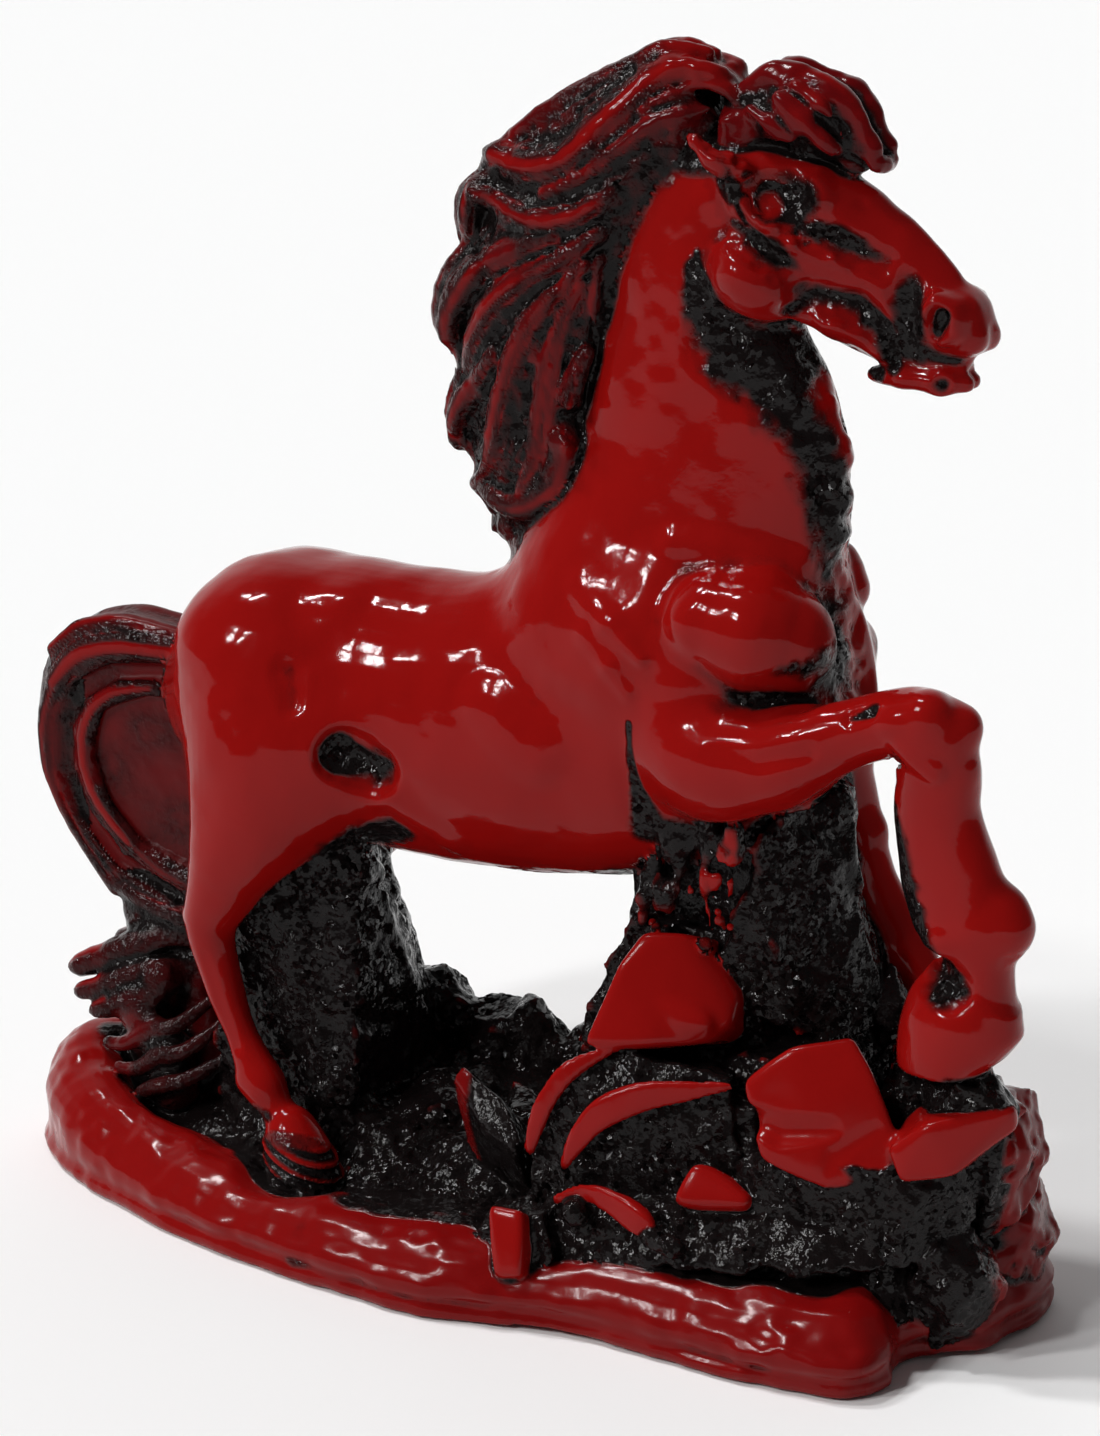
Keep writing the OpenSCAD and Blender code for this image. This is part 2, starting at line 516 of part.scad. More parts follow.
left_hind_leg_rows = [
    [-30, 5, 72, 8, 10, 11], [-27, 9.4, 61, 8.6, 12, 11.5], [-28.5, 12.6, 51, 6.6, 8.4, 8.6],
    [-32.5, 13, 43, 4.8, 5.2, 5.4], [-36, 13, 36.8, 3.6, 3.4, 3.6], [-36, 13, 29.5, 2.8, 2.7, 2.8],
    [-35.4, 13, 23, 2.6, 2.6, 2.6], [-34, 13, 17.6, 3.3, 3.5, 3.3], [-32.2, 13, 14.6, 2.7, 2.8, 2.7],
    [-30.8, 13, 12.4, 3.6, 4.2, 3.6], [-28.8, 13, 7.4, 4.8, 5.4, 4.8], [-27.8, 13, 3, 5.2, 6, 5.2]
];

module plinth() {
    color(lacquer) placed() difference() {
        plinth_form();
        translate([0, 0, -1]) felt_sheet(1 + felt_t, glue_gap);
        sockets(pin_sides);
    }
}

module felt_pad() {
    color(felt_green) placed() felt_sheet(felt_t);
}

module front_outcrop() {
    color(lacquer) placed() difference() {
        outcrop_form();
        plinth_form();
        under_ground();
        sockets();
    }
}

module rock_pillar() {
    color(black_wash) placed() difference() {
        pillar_form();
        plinth_form();
        under_ground();
        outcrop_form();
        torso_form();
        loft(right_foreleg_rows);
        loft(left_foreleg_rows);
        sockets();
    }
}

module rear_rocks() {
    color(black_wash) placed() difference() {
        rear_rock_form();
        plinth_form();
        under_ground();
        outcrop_form();
        pillar_form();
        torso_form();
        loft(right_hind_leg_rows);
        loft(left_hind_leg_rows);
        tail_form();
        sockets();
    }
}

module torso() {
    color(lacquer) placed() difference() {
        torso_form();
        sockets();
    }
}

module neck() {
    color(lacquer) placed() difference() {
        neck_form();
        torso_form();
        head_form();
        sockets();
    }
}

module head() {
    color(lacquer) placed() difference() {
        head_form();
        sockets();
    }
}

module mane() {
    color(dark_lacquer) placed() difference() {
        mane_form();
        neck_form();
        head_form();
        torso_form();
        sockets();
    }
}

module forelock() {
    color(dark_lacquer) placed() difference() {
        forelock_form();
        head_form();
        neck_form();
        mane_form();
        sockets();
    }
}

module tail() {
    color(dark_lacquer) placed() difference() {
        tail_form();
        torso_form();
        loft(right_hind_leg_rows);
        loft(left_hind_leg_rows);
        plinth_form();
        sockets();
    }
}

// A leg is cut to the torso above and to the rock or the plinth under its hoof.
module leg(rows) {
    color(lacquer) placed() difference() {
        loft(rows);
        torso_form();
        outcrop_form();
        plinth_form();
        under_ground();
        sockets();
    }
}

module pin(p) {
    color(steel) placed() bar(p[1], p[2], p[3], pin_sides);
}

plinth();
felt_pad();
front_outcrop();
rock_pillar();
rear_rocks();
torso();
neck();
head();
mane();
forelock();
tail();
leg(right_foreleg_rows);  // right_foreleg
leg(left_foreleg_rows);  // left_foreleg
leg(right_hind_leg_rows);  // right_hind_leg
leg(left_hind_leg_rows);  // left_hind_leg
for (p = PINS) {
    pin(p);
}
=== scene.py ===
import json
import math

import bmesh
import bpy
import numpy as np
import openvdb as vdb
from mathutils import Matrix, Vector


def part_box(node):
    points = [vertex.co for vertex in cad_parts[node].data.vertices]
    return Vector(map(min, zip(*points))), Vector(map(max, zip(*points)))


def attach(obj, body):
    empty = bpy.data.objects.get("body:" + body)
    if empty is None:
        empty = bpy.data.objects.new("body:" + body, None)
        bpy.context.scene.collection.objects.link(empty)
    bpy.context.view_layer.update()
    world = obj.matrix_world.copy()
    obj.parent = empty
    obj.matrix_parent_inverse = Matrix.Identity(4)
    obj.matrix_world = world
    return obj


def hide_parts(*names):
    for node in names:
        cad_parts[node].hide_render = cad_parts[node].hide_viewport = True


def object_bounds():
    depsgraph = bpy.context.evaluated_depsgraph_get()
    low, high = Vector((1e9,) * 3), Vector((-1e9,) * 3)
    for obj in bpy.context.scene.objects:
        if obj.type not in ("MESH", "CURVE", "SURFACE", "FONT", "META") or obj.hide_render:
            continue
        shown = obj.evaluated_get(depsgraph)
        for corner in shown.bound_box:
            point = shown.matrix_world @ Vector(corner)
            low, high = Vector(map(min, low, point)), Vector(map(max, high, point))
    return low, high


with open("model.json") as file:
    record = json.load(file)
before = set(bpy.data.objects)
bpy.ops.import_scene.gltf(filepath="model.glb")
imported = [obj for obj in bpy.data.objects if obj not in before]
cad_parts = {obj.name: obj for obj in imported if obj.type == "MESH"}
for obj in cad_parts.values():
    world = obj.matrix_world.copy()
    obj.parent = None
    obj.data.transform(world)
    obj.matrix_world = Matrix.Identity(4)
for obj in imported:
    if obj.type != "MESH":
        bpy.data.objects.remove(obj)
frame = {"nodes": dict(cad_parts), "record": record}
cad_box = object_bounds()


# The plinth is the oval base casting: a floor of rough ground inside a broad rim that slants
# outward and was pressed by hand, with a groove near its foot. It is poured in resin filled
# with stone powder, and the other castings are pinned and glued on it.
MM = 0.001
GRAIN = 0.4  # size of a voxel
REACH = 3.2  # how far from its surface a form is worked out
FAR = 50.0  # stands for all greater distances
EDGE = 3.0  # empty margin round the statue's box
pin_low, pin_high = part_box("rear_rock_pin")
rear_pin_place = (-33, 2)
figure_shift = np.array([(pin_low.x + pin_high.x) / 2 / MM - rear_pin_place[0],
                         (pin_low.y + pin_high.y) / 2 / MM - rear_pin_place[1], 0])
clay_low = np.array(cad_box[0]) / MM - figure_shift - EDGE
clay_shape = np.ceil((np.array(cad_box[1]) / MM - figure_shift + EDGE - clay_low) / GRAIN).astype(int)


class Clay:
    """A form as distances to its surface, in millimetres, on a box of voxels between two corners."""

    def __init__(self, low, high):
        start, end = ((np.array(corner) - clay_low) / GRAIN for corner in (low, high))
        self.start = np.clip(np.floor(start), 0, clay_shape - 2).astype(int)
        self.end = np.clip(np.ceil(end), self.start + 2, clay_shape).astype(int)
        self.depth = np.full(tuple(self.end - self.start), FAR, np.float32)

    def places(self):
        """The x, y and z of the voxels, each shaped to spread over the box."""
        return np.ix_(*[(clay_low[a] + GRAIN * np.arange(self.start[a], self.end[a])).astype(np.float32)
                        for a in range(3)])

    def window(self, start, end):
        return tuple(slice(a, b) for a, b in zip(start - self.start, end - self.start))

    def grow(self, start, end):
        start, end = np.minimum(start, self.start), np.maximum(end, self.end)
        if (start < self.start).any() or (end > self.end).any():
            depth = np.full(tuple(end - start), FAR, np.float32)
            depth[tuple(slice(a, b) for a, b in zip(self.start - start, self.end - start))] = self.depth
            self.start, self.end, self.depth = start, end, depth

    def add(self, other, blend=0.0):
        """Joins another form on, with a fillet of about this size."""
        self.grow(other.start, other.end)
        at = self.window(other.start, other.end)
        self.depth[at] = melt(self.depth[at], other.depth, blend)
        return self

    def cut(self, other, blend=0.0):
        """Takes another form away, with edges rounded to about this size."""
        mine, its, _ = self.shared(other)
        self.depth[mine] = -melt(-self.depth[mine], other.depth[its], blend)
        return self

    def roughen(self, size, amount, seed, near=None, over=3.0):
        """Pushes smooth random dents into the form, all over or near another form."""
        mine, its, grid = self.shared(near or self)
        dents = amount * (0.5 + 0.5 * lumps(grid, size, seed))
        if near:
            dents *= 1 - fade(near.depth[its], 0, over)
        self.depth[mine] += dents
        return self

    def shared(self, other):
        """The voxels two forms have in common: in this one, in the other and in the whole grid."""
        start, end = np.maximum(self.start, other.start), np.minimum(self.end, other.end)
        end = np.maximum(start, end)
        in_grid = tuple(slice(a, b) for a, b in zip(start, end))
        return self.window(start, end), other.window(start, end), in_grid

    def copied(self):
        twin = Clay(clay_low, clay_low)
        twin.start, twin.end, twin.depth = self.start.copy(), self.end.copy(), self.depth.copy()
        return twin

    def press(self, height, rows, side_on=1.0):
        """Raises a ridge of this height along a line on the form, or sinks a groove if it is below 0."""
        line = line_field(rows, side_on)
        mine, its, grid = self.shared(line)
        bump = height * np.maximum(1 - line.depth[its] ** 2, 0) ** 2
        self.depth[mine] -= bump
        relief[grid] = np.where(np.abs(bump) > np.abs(relief[grid]), bump, relief[grid])
        return self


def stretches(rows):
    """The pairs of rows that follow each other on a line, or its only row twice."""
    return list(zip(rows, rows[1:])) or [(rows[0], rows[0])]


def off_line(a, b, x, y, z):
    """How far some places are from the straight line between two rows, and the fourth value of
    the rows at the nearest point of that line."""
    way = b[:3] - a[:3]
    along = ((x - a[0]) * way[0] + (y - a[1]) * way[1] + (z - a[2]) * way[2]) / max(way @ way, 1e-6)
    along = np.clip(along, 0, 1)
    squares = [(place - start - along * step) ** 2 for place, start, step in zip((x, y, z), a, way)]
    return np.sqrt(squares[0] + squares[1] + squares[2]), a[3] + (b[3] - a[3]) * along


def line_field(rows, side_on=1.0):
    """Distance to a line in half widths. A row is x, y, z and half width. A line drawn side on
    counts only this share of the distance in y."""
    rows = np.asarray(rows, float) * [1, side_on, 1, 1]
    out = rows[:, 3].max()
    back = np.array([1, 1 / side_on, 1])
    line = Clay((rows[:, :3].min(0) - out) * back, (rows[:, :3].max(0) + out) * back)
    for a, b in stretches(rows):
        part = Clay((np.minimum(a, b)[:3] - out) * back, (np.maximum(a, b)[:3] + out) * back)
        x, y, z = part.places()
        distance, width = off_line(a, b, x, y * side_on, z)
        at = line.window(part.start, part.end)
        line.depth[at] = np.minimum(line.depth[at], distance / width)
    return line


relief = np.zeros(clay_shape, np.float32)


def melt(a, b, blend):
    """The lower of two distances, rounded over where they are within the blend of each other."""
    low = np.minimum(a, b)
    if blend:
        near = np.maximum(blend - np.abs(a - b), 0)
        low -= near * near / (4 * blend)
    return low


def fade(value, low, high):
    """0 below one value and 1 above the other, with a smooth step between."""
    share = np.clip((value - low) / (high - low), 0, 1)
    return share * share * (3 - 2 * share)


def lumps(grid, size, seed):
    """Smooth random numbers between -1 and 1, of about this size in millimetres, over part of the grid."""
    bumps = np.random.default_rng(seed).uniform(-1, 1, np.ceil(clay_shape * GRAIN / size).astype(int) + 3)
    bumps = bumps.astype(np.float32)
    for axis in range(3):
        place = np.arange(grid[axis].start, grid[axis].stop) * GRAIN / size
        first = np.floor(place).astype(int)
        share = fade(place - first, 0, 1).astype(np.float32)
        share = share.reshape([-1 if a == axis else 1 for a in range(3)])
        bumps = np.take(bumps, first, axis) * (1 - share) + np.take(bumps, first + 1, axis) * share
    return bumps


def solid(points, quads, triangles, reach=REACH):
    """Clay inside a closed mesh."""
    points = np.asarray(points, np.float32)
    form = Clay(points.min(0) - reach, points.max(0) + reach)
    grid = vdb.FloatGrid.createLevelSetFromPolygons(
        ((points - clay_low) / GRAIN).astype(np.float32), quads=np.asarray(quads, np.uint32).reshape(-1, 4),
        triangles=np.asarray(triangles, np.uint32).reshape(-1, 3),
        transform=vdb.createLinearTransform(voxelSize=1.0), halfWidth=reach / GRAIN)
    grid.copyToArray(form.depth, ijk=tuple(int(s) for s in form.start))
    form.depth *= GRAIN
    return form


def skin(rings, reach=REACH):
    """Clay inside a stack of rings that have the same number of points."""
    count, sides = rings.shape[:2]
    points = np.concatenate([rings.reshape(-1, 3), rings[0].mean(0)[None], rings[-1].mean(0)[None]])
    here = np.arange(sides)
    after = (here + 1) % sides
    band = np.stack([here, after, after + sides, here + sides], 1)
    quads = np.concatenate([band + i * sides for i in range(count - 1)])
    foot = (count - 1) * sides
    caps = np.concatenate([np.stack([np.full(sides, count * sides), after, here], 1),
                           np.stack([np.full(sides, count * sides + 1), foot + here, foot + after], 1)])
    return solid(points, quads, caps, reach)


def curve(rows, places, closed=False):
    """Rows of numbers on a smooth curve through the given rows, at places counted in rows."""
    rows = np.asarray(rows, float)
    count = len(rows)
    first = np.floor(places).astype(int)
    if not closed:
        first = np.minimum(first, count - 2)
    t = (places - first)[:, None]
    near = [first + shift for shift in (-1, 0, 1, 2)]
    a, b, c, d = (rows[n % count if closed else np.clip(n, 0, count - 1)] for n in near)
    bend = 2 * a - 5 * b + 4 * c - d
    twist = 3 * b - a - 3 * c + d
    return 0.5 * (2 * b + (c - a) * t + bend * t ** 2 + twist * t ** 3)


def mass(balls, reach=REACH):
    """Clay round a chain of balls, each x, y, z and radius."""
    balls = np.asarray(balls, float)
    out = balls[:, 3:].max() + reach
    form = Clay(balls[:, :3].min(0) - out, balls[:, :3].max(0) + out)
    x, y, z = form.places()
    for a, b in stretches(balls):
        distance, radius = off_line(a, b, x, y, z)
        form.depth = melt(form.depth, distance - radius, 1.0).astype(np.float32)
    return form


plinth_outline = [
    [-74, -3.4], [-64, -17.5], [-46, -25], [-30, -30.5], [-14, -33], [5, -33], [22, -31],
    [40, -31.7], [53, -30.8], [58, -25], [57, -18.5], [65, -12], [67.5, -1], [65.5, 9],
    [56, 17], [36, 21], [10, 22.5], [-18, 22], [-44, 19], [-63, 10]
]
plinth_middle = np.array([-2, -4])
plinth_half = np.array([69, 27])
felt_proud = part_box("plinth")[0].z / MM
rise_from, rise_over, rise_share = -42, 26, 0.72


def plinth_ring(z, inset, rises=True):
    around = curve(plinth_outline, np.arange(0, len(plinth_outline), 0.125), closed=True)
    around = plinth_middle + (around - plinth_middle) * (1 - np.array([1.25 * inset, inset]) / plinth_half)
    lift = 1 + rise_share * np.maximum(0, (rise_from - around[:, 0]) / rise_over) * rises
    return np.column_stack([around, z * lift])


rim_profile = [
    [felt_proud - 1, 0.7], [1, 0.1], [1.7, 0.1], [2.2, 0.4], [2.7, 0.5], [3.2, 0.2], [4.4, 0.1],
    [5.8, 0.7], [7.2, 1.8], [8.4, 3.2], [9.3, 4.8], [9.9, 6.6], [10.1, 8.6], [9.4, 10.6], [8.2, 12.6],
]
plinth = skin(np.array([plinth_ring(z, inset, z > 3) for z, inset in rim_profile]))
plinth.depth -= 1
plinth.roughen(13, 2.4, 31).roughen(6, 0.8, 32).roughen(2.4, 0.5, 33)
plinth.roughen(2.4, 1.4, 34, near=mass([[44, -30, 8, 1], [53, -29, 8, 1]]), over=2.5)
ground = skin(np.array([plinth_ring(z, 6.4) for z in (-2, 24)]), 8)
plinth.press(-2.6, [[-27, -20, 9.6, 7], [-22, -20.4, 9.6, 7]])
castings = {"plinth": plinth}


# The rocks are three castings: an outcrop in front, with bare red faces and the raised hoof on
# top; a rough black pillar under the chest; and low black rocks along the far edge, with a web
# that fills the gap between the hind legs.
def hull(corners):
    """Clay inside the convex hull of some corners."""
    made = bmesh.new()
    for c in corners:
        made.verts.new(c)
    bmesh.ops.convex_hull(made, input=made.verts)
    bmesh.ops.delete(made, geom=[v for v in made.verts if not v.link_faces], context="VERTS")
    bmesh.ops.triangulate(made, faces=made.faces)
    bmesh.ops.recalc_face_normals(made, faces=made.faces)
    made.verts.index_update()
    points = np.array([v.co for v in made.verts])
    triangles = np.array([[v.index for v in f.verts] for f in made.faces])
    made.free()
    return solid(points, [], triangles)


def heap(rocks, blend):
    """Hulls joined in one form. A rock is its corners."""
    form = hull(rocks[0])
    for corners in rocks[1:]:
        form.add(hull(corners), blend)
    return form


def boulder(centre, size, seed, corners=16):
    """A rough egg with its corners spread evenly, each the golden angle on from the last."""
    golden_angle = np.radians(137.508)
    rough = np.random.default_rng(seed).uniform(0.8, 1.05, corners)
    turn = golden_angle * np.arange(corners)
    height = 1 - 2 * (np.arange(corners) + 0.5) / corners
    radius = np.sqrt(1 - height * height)
    ways = np.column_stack([radius * np.cos(turn), radius * np.sin(turn), height])
    return hull(np.array(centre) + np.array(size) * rough[:, None] * ways)


def frames(rows, places, facing=1):
    """A curve's rows, and the unit ways along it, across it and to its front."""
    step = 0.05
    ahead, behind = np.minimum(places + step, len(rows) - 1), np.maximum(places - step, 0)
    way = (curve(rows, ahead) - curve(rows, behind))[:, :3]
    way /= np.linalg.norm(way, axis=1, keepdims=True)
    side = np.array([0, facing, 0])
    across = side - (way @ side)[:, None] * way
    across /= np.linalg.norm(across, axis=1, keepdims=True)
    return curve(rows, places), way, across, np.cross(way, across)


def strand(rows, flat=1.0, square=1.0, sides=20, per_row=6):
    """A strand of clay with blunt ends, round or nearer to square. A row is x, y, z and radius."""
    spine, way, across, front = frames(rows, np.arange(0, (len(rows) - 1) * per_row + 1) / per_row)
    turn = 2 * np.pi * np.arange(sides) / sides
    wide, deep = (np.sign(v) * np.abs(v) ** square for v in (np.cos(turn), np.sin(turn)))
    ring = across[:, None] * (flat * wide)[:, None] + front[:, None] * deep[:, None]
    rings = spine[:, None, :3] + ring * spine[:, None, 3:4]
    tip_reach, tip_share = 0.7, 0.5
    tips = [spine[end, :3] + sign * tip_reach * way[end] * spine[end, 3]
            + tip_share * ring[end] * spine[end, 3] for end, sign in ((0, -1), (-1, 1))]
    return skin(np.concatenate([tips[:1], rings, tips[1:]]))


def blurred(volume, radius):
    """The volume averaged over a few millimetres."""
    half = max(1, int(round(radius / GRAIN)))
    for axis in (0, 1, 2):
        for _ in range(2):
            pad = [(half + 1, half) if a == axis else (0, 0) for a in range(3)]
            sums = np.cumsum(np.pad(volume, pad, mode="edge"), axis=axis, dtype=np.float32)
            count = volume.shape[axis]
            high = np.take(sums, range(2 * half + 1, 2 * half + 1 + count), axis)
            volume = (high - np.take(sums, range(0, count), axis)) / (2 * half + 1)
    return volume


red_rocks = [
    [[14.1, -19, 32.5], [17.3, -15.5, 42.4], [19.4, -13, 45.9], [24.5, -11.6, 46.6], [26.6, -9.5, 45.9],
     [30.8, -10, 38.3], [31, -12, 35.7], [28.9, -14, 33.8], [22.3, -17, 33.4], [17, 2, 38], [30, 2, 40],
     [15, 0, 28], [31, 0, 28]],
    [[35.2, -20, 32.6], [36.3, -21, 29.7], [38.8, -21.6, 24.2], [40.7, -18.4, 37.5], [48.4, -15.6, 40],
     [49.8, -16.4, 35.4], [55.5, -17, 26.4], [53.5, -18.6, 22.5], [47.2, -21.4, 20.9], [41, -8, 33],
     [44, -8, 33], [40, -10, 22], [52, -12, 22]],
    [[53.4, -19.4, 27], [58, -18.6, 31], [66.8, -13.8, 33], [67.2, -13, 30], [61, -18.2, 25],
     [55.4, -20, 23.4], [52, -6, 30], [64.6, -4, 32], [54, -10, 23], [62, -8, 24]],
    [[28.4, -23.6, 17.2], [30, -21.6, 22.2], [32.5, -20.8, 22], [37.8, -21.4, 18.6], [37.3, -22, 18],
     [29.7, -23.6, 17.1], [30, -17, 20], [37, -17, 18], [30, -18, 14], [37, -18, 14]],
    [[6.8, -28.6, 15], [11.8, -28.6, 16], [13.1, -31.6, 7.1], [8.8, -31.6, 6.4], [7, -25, 11],
     [11.8, -25, 12], [9, -26, 4], [13, -26, 4]],
]
red_blades = [
    [[8.8, -21.4, 19, 0.8], [9.5, -21, 22.3, 1.2], [10.7, -20.4, 25.6, 1.4], [13.4, -19.2, 29.7, 1.4],
     [18.6, -17.4, 32.7, 0.6]],
    [[13.9, -22.8, 18.1, 0.7], [15.8, -22.4, 22.2, 1.5], [18.3, -21.6, 25.6, 1.9], [22.5, -20.4, 28.1, 2],
     [28.4, -19, 29.6, 1.4], [34.4, -18, 31.1, 0.6]],
    [[14, -24.6, 15, 0.8], [17.1, -24.4, 16.6, 1.2], [21.2, -24.8, 16.4, 1.7], [25.5, -25.6, 15, 1.9],
     [27.3, -26, 14.2, 1]],
]
dark_rocks = [
    [[-6, -20, 4], [30, -25, 4], [56, -20, 4], [60, -8, 4], [12, -14, 16], [30, -19, 17], [52, -17, 18],
     [58, -8, 16], [16, -6, 16]],
    [[14, -18, 12], [24, -17, 27], [36, -16, 28], [38, -18, 14], [14, -8, 26], [38, -8, 28], [20, -8, 6],
     [40, -8, 6]],
    [[8, -21, 8], [8, -20.6, 20], [9.4, -20, 25.6], [12.4, -19, 30], [18, -17, 33], [33, -16.6, 31.4],
     [37, -18.4, 14], [14, -22, 12], [16.4, -21, 24.4], [22.4, -19.4, 27.8], [32, -20, 12], [12, -8, 30],
     [8, -10, 20], [30, -6, 29]],
    [[33, -19, 22], [40, -20.4, 25], [50, -20, 24.4], [59, -17, 24], [64, -10, 27], [36, -22.4, 12],
     [54, -21, 12], [63, -12, 12], [40, -8, 25], [60, -6, 26]],
    [[6, -26, 6], [12, -24, 14.6], [30, -26.6, 10], [46, -25.4, 11], [55, -21.6, 12], [30, -22.6, 15.4],
     [46, -21.6, 18], [12, -20, 16], [8, -14, 8], [54, -14, 16]],
    [[2, -27, 5], [5.4, -27.2, 13], [13.4, -27.2, 14.4], [16, -28, 7], [4, -20, 13], [14, -20, 15]],
]
outcrop_boulders = [
    [[61.2, -4, 22.6], [7.2, 11, 12], 3],
    [[61, 2, 10], [7.4, 11, 11], 7],
    [[58.6, -12, 9.4], [8.6, 8, 10], 11],
    [[50, 10, 12], [12.4, 10.6, 16.6], 5],
    [[59.8, -11, 31], [8, 7, 6.6], 13],
    [[52, -9, 30], [5, 6, 6], 17],
    [[46.8, 11, 16.6], [9.4, 8.4, 12], 19],
    [[43.6, 4.4, 35], [5, 5, 7], 23],
]
red_stone = heap(red_rocks, 0.4)
red_stone.depth = blurred(np.minimum(red_stone.depth, REACH), 0.4) - 0.3
red_stone.roughen(7, 1.1, 1)
red_folds = [
    [-1.2, [[35, -20, 29, 1.6], [41, -20.6, 27.6, 2.4], [47, -20, 28.6, 1.6]]],
    [-1, [[46.4, -22.6, 22, 1.4], [48, -21, 26, 2], [52, -18.6, 29, 1.6]]],
    [0.8, [[22, -13, 38, 2], [26, -14, 36.6, 2.6], [31, -15, 36, 2]]],
]
for height, rows in red_folds:
    red_stone.press(height, rows)
for rows in red_blades:
    red_stone.add(strand(rows, flat=0.5, square=0.5).roughen(4, 0.4, 22), 0.3)
dark_stone = heap(dark_rocks, 0.6)
for centre, size, seed in outcrop_boulders:
    dark_stone.add(boulder(centre, size, seed), 0.6)
leaf = hull([[-5.7, -15.4, 23.8], [-4.1, -14.4, 25.5], [2, -16, 23.3], [6.4, -18.6, 18.8], [6, -19.8, 16.9],
             [0.4, -18.2, 18.8], [-4, -8, 20], [5, -9, 15], [-6, -9, 8], [6, -13, 6]]).roughen(5, 0.8, 35)
pebbles = [
    [[16.8, -25, 14.1, 2.1]],
    [[27.4, -25.6, 13.4, 1.8], [30, -25.8, 12.6, 1.8]],
    [[12.4, -25.6, 11, 1.8]],
]
dark_stone.roughen(3, 0.9, 3).roughen(1.3, 0.8, 4).add(leaf, 0.3)
for balls in pebbles:
    dark_stone.add(mass(balls).roughen(2, 0.6, 36), 0.2)
outcrop = Clay(dark_stone.start * GRAIN + clay_low, dark_stone.end * GRAIN + clay_low)
outcrop.add(dark_stone).add(red_stone, 0.3)
castings["front_outcrop"] = outcrop

pillar_rocks = [
    [[14, -7, 44], [15, 6, 43], [36, -7, 40], [39, 8, 40], [14, -7, 60], [15, 7, 60], [34, -7, 66],
     [35.6, 8, 66]],
    [[25, -10.6, 36], [37, -8, 33], [45.6, 2, 32], [44, 9, 32], [26, 9, 38], [32, -10.4, 60],
     [39.6, 2, 63], [36.6, 8, 63], [33, 8, 60]],
    [[8, -9, 28], [14.6, -8, 46], [32, -8, 46], [36, 8, 46], [15, 8, 46], [10, 8, 28], [34, -8, 28],
     [38, 8, 28]],
    [[8, -13, 4], [40, -13, 4], [44, 14, 4], [10, 12, 4], [12, -9, 31], [38, -12, 33], [46, 10, 34],
     [14, 10, 30]],
]
pillar = heap(pillar_rocks, 1)
pillar_drips = [
    [[22, -8.8, 62, 3], [22.6, -9.8, 53, 2.6], [21.6, -10, 47, 1.6]],
    [[26.5, -9.8, 60, 2.4], [26.8, -10.8, 52, 2], [27.6, -11.2, 46.6, 1.4]],
    [[30.4, -10.4, 60, 2], [30.2, -11, 53.6, 1.5], [29.8, -11.2, 50, 1]],
    [[17.6, -6.8, 58, 2.6], [18.4, -8.2, 50, 2.2], [17, -8.2, 45.6, 1.3]],
    [[24.4, -10.4, 56, 1.3], [24.6, -11, 50, 1.4], [24.2, -11.2, 47, 1]],
    [[20, -9, 56, 1.3], [19.8, -10, 50, 1.3], [20.4, -10.4, 45.6, 1]],
    [[28.8, -10.6, 57, 1.1], [28.4, -11.4, 51, 1.2], [28, -11.6, 48.6, 0.9]],
]
for rows in pillar_drips:
    pillar.add(strand(rows), 0.8)
drops = np.random.default_rng(37).uniform([16.5, -1.5, 43.6, 0.9], [31, 0.6, 60, 1.9], (34, 4))
drops[:, 1] -= 7.6 + 0.24 * (drops[:, 0] - 16.5)
for drop in drops:
    pillar.add(mass([drop]), 0.3)
pillar.depth -= 1
pillar.roughen(2, 1.6, 30, near=strand([[18, -9, 50, 3], [29, -11, 52, 3]]), over=3)
pillar.roughen(7, 1.4, 5).roughen(3, 1.1, 15).roughen(1.4, 0.8, 6)
castings["rock_pillar"] = pillar

rear_web = [
    [-44, -10, 4], [-22, -11, 4], [-18, 12, 4], [-44, 13, 4], [-42, -11, 34], [-36, -11, 54],
    [-22, -7, 53], [-29, 8, 52], [-22.4, -8, 40], [-42, 8, 44], [-23, -6, 30], [-27, 12, 28],
]
rear_ground = [[-60, -8, 4], [-42, -14, 4], [-16, -14, 4], [-6, -20, 4], [13, -16, 4], [14, 17, 4],
               [-30, 18, 4], [-58, 12, 4], [-50, -4, 13], [-36, -8, 13], [-10, -11, 12], [8, -10, 14],
               [8, 11, 17], [-28, 13, 17], [-50, 7, 15]]
rear_boulders = [
    [[-24, 14, 19], [9, 6, 9], 2], [[-11, 13, 16], [12, 7, 9], 4], [[4, 12, 15], [9, 8, 10], 6],
    [[-12, -2, 10], [13, 9, 9], 8], [[-50, 9, 11], [12, 7, 9], 9], [[1, -6, 11], [10, 9, 10], 12],
]
rear_rocks = heap([rear_web, rear_ground], 2)
for centre, size, seed in rear_boulders:
    rear_rocks.add(boulder(centre, size, seed), 1)
rear_rocks.depth -= 1.4
rear_rocks.roughen(6, 1.8, 7).roughen(2.6, 1.2, 16).roughen(1.3, 0.8, 8)
castings["rear_rocks"] = rear_rocks


